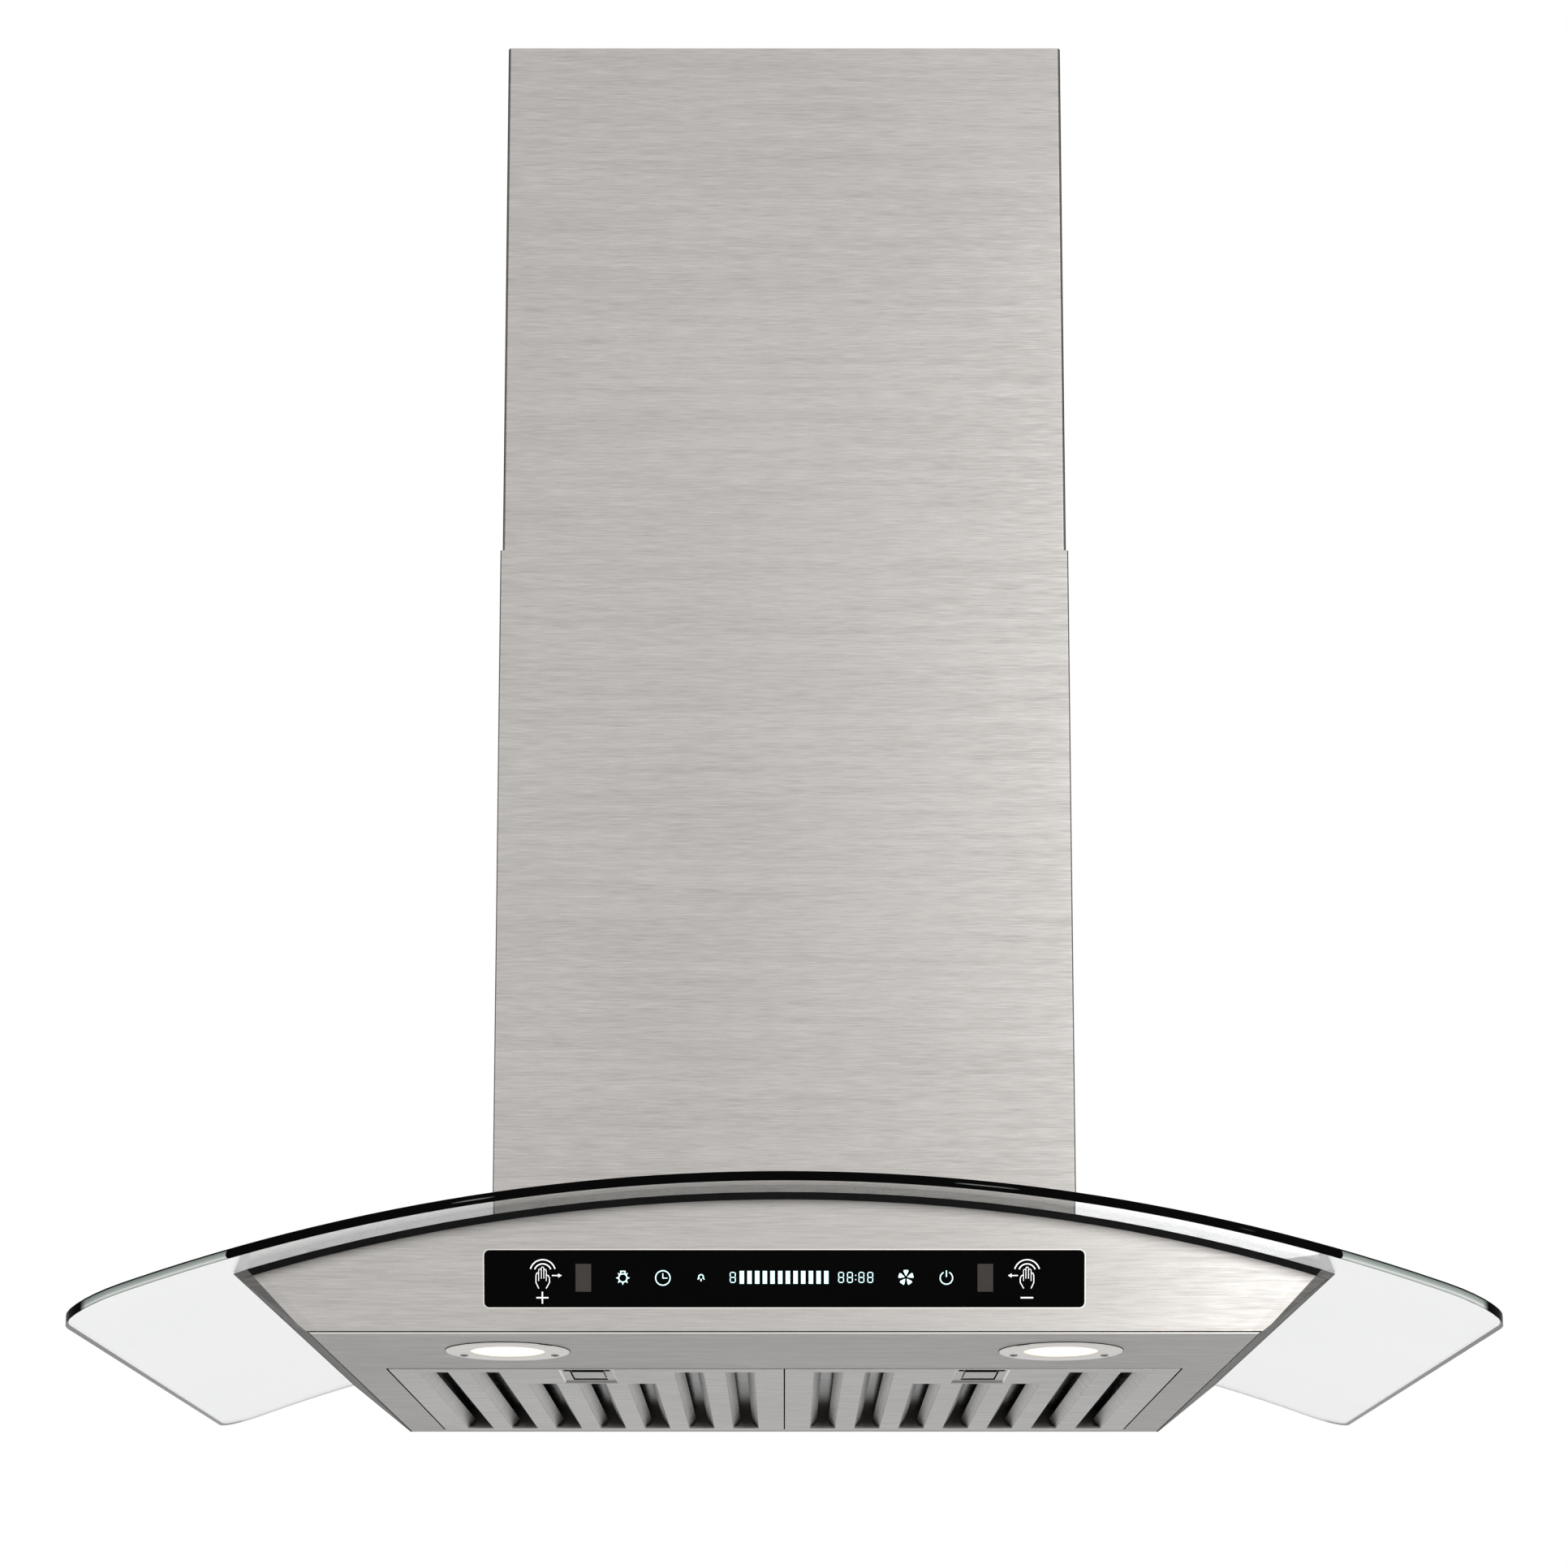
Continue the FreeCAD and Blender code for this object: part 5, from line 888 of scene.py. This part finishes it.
def make_cover(name, node, body, fold, foot_on_glass, shade_from):
    """A chimney cover folded from one sheet, with painted shade, a darker steel, round its front folds."""
    low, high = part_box(node)
    bm = bmesh.new()
    verts = [bm.verts.new((x, y, high.z)) for x, y in cover_outline(high.x, low.y, high.y, fold)]
    edges = [bm.edges.new(pair) for pair in zip(verts, verts[1:])]
    for vert in new_verts(bmesh.ops.extrude_edge_only(bm, edges=edges)):
        vert.co.z = low.z
        if foot_on_glass:
            vert.co.z = arc_z(GLASS_RADIUS + COVER_FOOT_GAP, vert.co.x)
    turn_outwards(bm)
    front_face = min(bm.faces, key=lambda face: face.calc_center_median().y)
    if front_face.normal.y > 0:
        bmesh.ops.reverse_faces(bm, faces=bm.faces)
    bmesh.ops.solidify(bm, geom=bm.faces[:], thickness=COVER_SHEET)
    bevel_edges(bm, sharp_edges(bm, COVER_SHARP_ANGLE), COVER_EASE)
    bm.normal_update()
    for face in bm.faces:
        turned = shade_from < abs(face.normal.x) < 0.995 and face.normal.y < 0
        face.material_index = int(turned and face.calc_center_median().y < low.y + fold)
    finish_piece(name, bm, [chimney_steel, fold_shade_steel], body, (node,))


def lathe(profile, centre, steps=LAMP_STEPS):
    """A closed shape spun from a profile about an upright axis."""
    bm = bmesh.new()
    verts = [bm.verts.new(centre + Vector((radius * MM, 0, height * MM))) for radius, height in profile]
    edges = [bm.edges.new(pair) for pair in zip(verts, verts[1:])]
    bmesh.ops.spin(bm, geom=verts + edges, cent=centre, axis=(0, 0, 1), angle=math.tau, steps=steps,
                   use_merge=True, use_duplicate=False)
    bmesh.ops.remove_doubles(bm, verts=bm.verts, dist=WELD)
    turn_outwards(bm)
    return bm


def make_lamp(side_name, side):
    """One lamp: its ring with a finger notch, a black ring round it as painted shadow, and the domed lens."""
    centre = Vector((side * LAMP_SPREAD, -LAMP_DEPTH, underside_z))
    ring = lathe(LAMP_RING, centre)
    notch_way = Vector((-side * LAMP_NOTCH_WAY[0], LAMP_NOTCH_WAY[1], 0)).normalized()
    for vert in ring.verts:
        out = vert.co - centre
        out.z = 0
        if out.length > LAMP_NOTCH_R and out.angle(notch_way) < LAMP_NOTCH_SPAN:
            vert.co -= out.normalized() * LAMP_NOTCH_DEPTH
    finish_piece("lamp_ring_" + side_name, ring, [trim_steel], "hood",
                 ("lamp_bezel_" + side_name,))
    finish_piece("lamp_shadow_ring_" + side_name, lathe(LAMP_SHADOW_RING, centre), [seal_rubber], "hood")
    finish_piece("lamp_diffuser_" + side_name, lathe(LAMP_LENS, centre, LAMP_LENS_STEPS), [lens_lit],
                 "hood", ("lamp_lens_" + side_name,))


def add_screw(bm, seat, way, radius, height, reach, shank_radius):
    """A pan head screw with a cross recess. The head stands on the seat, and the shank goes the other way."""
    start = len(bm.verts)
    rings = [(shank_radius, -reach), (shank_radius, 0.0), (radius, 0.0), (radius, height * 0.45),
             (radius * 0.86, height * 0.85), (radius * 0.62, height)]
    loops = []
    for ring_radius, ring_height in rings:
        made = bmesh.ops.create_circle(bm, cap_ends=False, radius=ring_radius, segments=SCREW_SIDES,
                                       matrix=Matrix.Translation((0, 0, ring_height)))
        loops.append(made["verts"])
    cross = []
    arm, wide = radius * 0.5, radius * 0.13
    for quarter in range(4):
        turn = Matrix.Rotation(quarter * math.pi / 2, 3, "Z")
        for x, y in ((arm, -wide), (arm, 0), (arm, wide), (arm * 0.62, wide), (wide * 1.6, wide),
                     (wide, wide * 1.6)):
            cross.append(bm.verts.new(turn @ Vector((x, y, height))))
    floor = [bm.verts.new((v.co.x * 0.7, v.co.y * 0.7, height * 0.25)) for v in cross]
    loops += [cross, floor]
    for low, high in zip(loops, loops[1:]):
        for index in range(SCREW_SIDES):
            following = (index + 1) % SCREW_SIDES
            bm.faces.new((low[index], low[following], high[following], high[index]))
    bm.faces.new(floor)
    bm.faces.new(list(reversed(loops[0])))
    bm.verts.ensure_lookup_table()
    turned = Vector((0, 0, 1)).rotation_difference(way).to_matrix().to_4x4()
    bmesh.ops.transform(bm, matrix=Matrix.Translation(seat) @ turned, verts=bm.verts[start:])


def add_screws(name, seats, sizes, material, body, node):
    """A piece of like screws. A seat is a place and the way that the head faces there."""
    bm = bmesh.new()
    for place, way in seats:
        add_screw(bm, Vector(place), Vector(way), *sizes)
    turn_outwards(bm)
    finish_piece(name, bm, [material], body, (node,))


def make_screws():
    """The screws that show: two on each lamp, and one on each side of both covers."""
    depth, level = -LAMP_DEPTH + LAMP_SCREW_BACKSET, underside_z - LAMP_RING_PROUD
    seats = [((side * LAMP_SPREAD + hand * LAMP_SCREW_SPREAD, depth, level), (0, 0, -1))
             for side in (-1, 1) for hand in (-1, 1)]
    add_screws("lamp_screw_heads", seats, LAMP_SCREW, screw_dark, "hood", "lamp_screws")
    for name, node, body in (("lower_cover_screw_heads", "chimney_screws", "hood"),
                             ("upper_cover_screw_heads", "upper_cover_screws", "upper_cover")):
        low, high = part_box(node)
        middle = (low + high) / 2
        seats = [((side * (high.x - COVER_SCREW[1]), middle.y, middle.z), (side, 0, 0)) for side in (-1, 1)]
        add_screws(name, seats, COVER_SCREW, plated, body, node)


# Symbols on the touch glass, in millimetres from its middle. A stroke is points and a width.


def finger_stroke(left, right, left_foot, right_foot, tip):
    """The outline of one finger, round at its tip."""
    radius = (right - left) / 2
    round_tip = arc_line(left + radius, tip - radius, radius, 180, 0, 8)
    return [(left, left_foot)] + round_tip + [(right, right_foot)]


def hand_strokes(x, y, way):
    """A raised hand in outline under two arcs, with an arrow to one side."""
    strokes = [
        (arc_line(0, 3.3, 6.8, 16, 164), 0.65),
        (arc_line(0, 3.3, 4.6, 22, 158), 0.65),
        (finger_stroke(-2.15, -0.75, -1.2, 0.0, 5.2), 0.36),
        (finger_stroke(-0.75, 0.62, 0.0, 0.1, 6.2), 0.36),
        (finger_stroke(0.62, 1.9, 0.1, -1.2, 5.0), 0.36),
        ([(-2.3, 2.8), (-2.75, 3.1), (-3.25, 2.8), (-3.6, 1.6), (-3.6, -2.0), (-2.1, -5.2)], 0.48),
        ([(1.95, 1.9), (2.4, 1.9), (3.1, 1.4), (3.6, 0.4), (3.6, -2.0), (1.8, -5.2)], 0.48),
        ([(4.9, 1.7), (8.4, 1.7)], 0.6),
        ([(8.2, 1.7), (10.1, 1.7)], (2.2, 0.1))]
    return [([(x + u * way, y + v) for u, v in points], width) for points, width in strokes]


def bulb_strokes(x, y, radius, width, reach):
    """A bulb: a ring with seven short pointed rays and a cap on top."""
    strokes = [(arc_line(x, y, radius, 0, 360, 28), width)]
    for ray in range(-3, 4):
        angle = math.pi / 4 * ray - math.pi / 2
        root = (x + radius * math.cos(angle), y + radius * math.sin(angle))
        end = (x + reach * math.cos(angle), y + reach * math.sin(angle))
        strokes.append(([root, end], (width * 2.1, width * 0.2)))
    cap = [(x - 1.2, y + 2.0), (x - 1.15, y + 3.55), (x + 1.15, y + 3.55), (x + 1.2, y + 2.0)]
    strokes.append((cap, 0.6))
    return strokes


def dimmer_strokes(x, y):
    """A small bulb seen with two short rays and a foot."""
    strokes = [(arc_line(x, y, 1.25, -45, 225), 0.62)]
    for way in (-1, 1):
        strokes.append(([(x + way * 1.35, y - 0.6), (x + way * 1.75, y - 1.35)], 0.55))
    strokes.append(([(x, y - 1.0), (x, y - 2.3)], (0.9, 0.5)))
    return strokes


def digit_strokes(x, y, width, height, line):
    """A seven segment eight, upright about its middle."""
    left, right = x - width / 2, x + width / 2
    low, high = y - height / 2, y + height / 2
    gap = line * 0.55
    strokes = [([(left + gap, level), (right - gap, level)], line) for level in (low, y, high)]
    for edge in (left, right):
        strokes.append(([(edge, low + gap), (edge, y - gap)], line))
        strokes.append(([(edge, y + gap), (edge, high - gap)], line))
    return strokes


def light_strokes():
    """The lit symbols: lamp, clock, level, speed bars, time, fan and power."""
    clock = [(arc_line(-64.6, 0.4, 3.85, 0, 360, 40), 0.6), ([(-64.6, 2.9), (-64.6, 0.3), (-62.2, 0.3)], 0.5)]
    strokes = bulb_strokes(-85.9, 0.4, 2.2, 0.62, 3.7) + clock
    strokes += dimmer_strokes(-44.3, 0.9) + digit_strokes(-27.4, 0.7, 2.7, 5.3, 0.5)
    for bar in range(12):
        x = -22.6 + 4.083 * bar
        strokes.append(([(x, -2.7), (x, 4.15)], 2.35))
    for place in (30.2, 34.9, 41.0, 45.7):
        strokes += digit_strokes(place, 0.7, 2.6, 5.3, 0.5)
    for level in (-0.5, 1.8):
        strokes.append(([(37.65, level), (38.25, level)], 0.6))
    for blade in range(5):
        angle = math.radians(90 + 72 * blade)
        blade_line = [(64.7 + math.cos(angle) * reach, 0.65 + math.sin(angle) * reach)
                      for reach in (0.9, 3.3, 4.0)]
        strokes.append((blade_line, (0.35, 2.7, 2.3)))
    power = [(arc_line(86.2, 0.4, 3.3, 118, 422, 36), 0.6), ([(86.2, 4.4), (86.2, 0.9)], 0.6)]
    return strokes + power


def print_strokes():
    """The printed marks: a hand, an arrow and a sign at each end of the glass."""
    return hand_strokes(-128.5, 0.0, 1) + hand_strokes(129.1, 0.0, -1) + [
        ([(-131.9, -10.1), (-125.5, -10.1)], 0.72),
        ([(-128.7, -13.3), (-128.7, -6.9)], 0.72),
        ([(125.7, -10.1), (132.4, -10.1)], 0.78)]


def panel_matrix(lift):
    """Places a drawing of the touch glass on its leaning face: x to the right, y up."""
    depth = PANEL_FOOT_DEPTH + PANEL_CENTRE_RISE * math.tan(FASCIA_LEAN)
    middle = Matrix.Translation((0, -depth, underside_z + PANEL_CENTRE_RISE))
    upright = Matrix.Rotation(math.pi / 2 + FASCIA_LEAN, 4, "X")
    return middle @ upright @ Matrix.Translation((0, 0, PANEL_PROUD + lift))


def add_stroke(bm, points, width):
    """A flat ribbon along points in the drawing. A line that ends where it starts is closed."""
    line = [Vector((x * MM, y * MM)) for x, y in points]
    widths = list(width) if isinstance(width, tuple) else [width] * len(line)
    closed = (line[0] - line[-1]).length < WELD
    if closed:
        line.pop()
    count = len(line)
    pairs = []
    for index, point in enumerate(line):
        before = line[index - 1] if closed or index else point
        after = line[(index + 1) % count] if closed or index < count - 1 else point
        into = (point - before) if point != before else (after - point)
        out = (after - point) if point != after else into
        into.normalize()
        along = (into + out.normalized()).normalized()
        reach = widths[index] / 2 * MM / max(along.dot(into), SHARPEST_MITRE)
        across = Vector((-along.y, along.x)) * reach
        pairs.append([bm.verts.new((point + across).to_3d()), bm.verts.new((point - across).to_3d())])
    for index in range(count if closed else count - 1):
        here, there = pairs[index], pairs[(index + 1) % count]
        bm.faces.new((here[0], here[1], there[1], there[0]))


def window_strokes():
    """A painted highlight for the bright edge of the window in the fascia, close round the touch glass."""
    edge = WINDOW_EDGE / MM
    corner = PANEL_CORNER / MM + edge
    rise = PANEL_HALF_HEIGHT / MM + edge
    line = rounded_outline(PANEL_HALF_WIDTH / MM + edge, -rise, rise, corner, corner, 6)
    return [(line + line[:1], edge)]


def make_symbols(name, strokes, material, lift=SYMBOL_LIFT):
    """Flat marks on the touch glass, with their place applied to the mesh."""
    bm = bmesh.new()
    for points, width in strokes:
        add_stroke(bm, points, width)
    made = bmesh.ops.extrude_face_region(bm, geom=bm.faces[:], use_keep_orig=True)
    bmesh.ops.translate(bm, vec=(0, 0, -SYMBOL_THICKNESS), verts=new_verts(made))
    bmesh.ops.transform(bm, matrix=panel_matrix(lift), verts=bm.verts)
    turn_outwards(bm)
    finish_piece(name, bm, [material], "hood")


def make_sensor_windows():
    """Two tinted windows in the touch glass, in front of the sensors."""
    bm = bmesh.new()
    for side in (-1, 1):
        place = panel_matrix(0) @ Matrix.Translation((side * SENSOR_SPREAD, SENSOR_RISE, 0))
        size = Matrix.Diagonal((SENSOR_WIDTH, SENSOR_HEIGHT, SENSOR_FILM * 2, 1))
        bmesh.ops.create_cube(bm, size=1.0, matrix=place @ size)
    bevel_edges(bm, bm.edges[:], SENSOR_FILM * 0.6, 1)
    finish_piece("sensor_windows", bm, [sensor_tint], "hood")


make_canopy()
make_cover("lower_cover_folded", "lower_chimney_cover", "hood", LOWER_FOLD, True, 0.25)
make_cover("upper_cover_folded", "upper_chimney_cover", "upper_cover", UPPER_FOLD, False, 0.2)
dressed("fascia", "hood", body_steel, SHEET_EASE, shape=lift_fascia_foot,
        keep=is_fascia_joint)
for side_name, facet in (("left", facet_shade_steel), ("right", right_facet_deep_shade)):
    dressed("side_panel_" + side_name, "hood", side_steel, SHEET_EASE,
            shape=lift_fascia_foot, mark=facet_mark, marked=(facet,), keep=is_fascia_joint)
dressed("underside_panel", "hood", underside_steel, SHEET_EASE, shape=reach_to_seam,
        mark=panel_mark, marked=(seam_highlight_steel, gap_painted_shade))
dressed("canopy_gasket", "hood", seal_rubber, GASKET_EASE, mark=gasket_mark,
        marked=(facet_shade_steel, right_facet_deep_shade))
dressed("control_glass", "hood", panel_black, TOUCH_GLASS_EASE, 3)
for side_name, side in (("left", -1), ("right", 1)):
    make_lamp(side_name, side)
    filter_body = "filter_" + side_name
    dressed("filter_face_" + side_name, filter_body, plate_steel, FILTER_EASE,
            shape=draw_filter_plate, mark=plate_mark, marked=(gap_painted_shade, seam_highlight_steel))
    dressed("filter_frame_" + side_name, filter_body, filter_steel, FILTER_EASE,
            mark=frame_mark, marked=(gap_painted_shade, open_steel))
    dressed("filter_baffles_" + side_name, filter_body, filter_steel, FILTER_EASE,
            mark=baffle_mark, marked=(open_steel,))
    add_latch_spring(side_name)
    dressed("filter_latch_" + side_name, "latch_" + side_name, latch_steel, LATCH_EASE,
            shape=sink_button, mark=latch_mark, marked=(gap_painted_shade,))
make_screws()
make_symbols("lit_symbols", light_strokes(), symbol_light)
make_symbols("printed_symbols", print_strokes(), glowing_print)
make_symbols("window_edge", window_strokes(), window_edge_highlight, WINDOW_LIFT)
make_sensor_windows()


# Floor, light and camera


def white_when_seen(tree, shading, white, share, output):
    """Mixes shading with plain white for the camera, reflections and what shows through glass."""
    path = add_node(tree, "LightPath", {}, None)
    seen = math_node(tree, "MAXIMUM", path["Is Camera Ray"], path["Is Glossy Ray"],
                     path["Is Transmission Ray"])
    mix = add_node(tree, "MixShader", {"Fac": math_node(tree, "MULTIPLY", seen, share), 1: shading, 2: white})
    feed(tree, tree.nodes[output], {"Surface": mix})


def make_floor():
    """Pale floor far below the hood."""
    mesh = bpy.data.meshes.new("floor")
    bm = bmesh.new()
    bmesh.ops.create_grid(bm, x_segments=4, y_segments=4, size=FLOOR_HALF,
                          matrix=Matrix.Translation((0, 0, FLOOR_Z)))
    bm.to_mesh(mesh)
    bm.free()
    floor = add_object("floor", mesh)
    material, tree, shader, _ = new_material(
        "floor_pale", {"Base Color": (0.82, 0.82, 0.81, 1.0), "Roughness": 0.8})
    white_when_seen(tree, shader.outputs[0], add_node(tree, "Emission", {}), 0.75, "Material Output")
    mesh.materials.append(material)


def make_world():
    """Plain studio: a soft even light, and white wherever it is seen."""
    world = bpy.data.worlds.new("studio")
    bpy.context.scene.world = world
    world.use_nodes = True
    tree = world.node_tree
    ambient = tree.nodes["Background"]
    feed(tree, ambient, {"Color": WHITE, "Strength": AMBIENT})
    white = add_node(tree, "Background", {"Color": WHITE})
    white_when_seen(tree, ambient.outputs[0], white, 1.0, "World Output")


def add_light(name, place, width, height, power):
    """A soft light panel that looks at the middle of the hood."""
    data = bpy.data.lights.new(name, "AREA")
    data.shape = "RECTANGLE"
    data.size = width
    data.size_y = height
    data.energy = power
    light = add_object(name, data)
    light.location = place
    light.rotation_euler = (LIGHT_AIM - Vector(place)).to_track_quat("-Z", "Y").to_euler()


def make_camera():
    """The photograph's camera, low in front and tilted up a little."""
    data = bpy.data.cameras.new("photo_camera")
    data.sensor_width = SENSOR
    data.lens = PHOTO_FOCUS / PHOTO_WIDTH * SENSOR
    data.shift_x = (PHOTO_WIDTH / 2 - PHOTO_MIDDLE_X) / PHOTO_WIDTH
    data.shift_y = (PHOTO_MIDDLE_Y - PHOTO_WIDTH / 2) / PHOTO_WIDTH
    camera = add_object("photo_camera", data)
    camera.location = CAMERA_PLACE
    camera.rotation_euler = (math.pi / 2 + CAMERA_TILT, 0, 0)
    bpy.context.scene.camera = camera


make_floor()
make_world()
add_light("key", (1.5, -2.25, 0.4), 2.5, 2.8, 20.5)
add_light("low", (1.05, -1.95, -0.75), 1.1, 0.8, 6.0)
add_light("fill", (-2.2, -2.0, 0.3), 2.4, 2.4, 14.5)
add_light("back", (0.6, 2.0, 1.2), 2.0, 2.0, 12.0)
make_camera()
bpy.context.scene.view_settings.view_transform = "Standard"
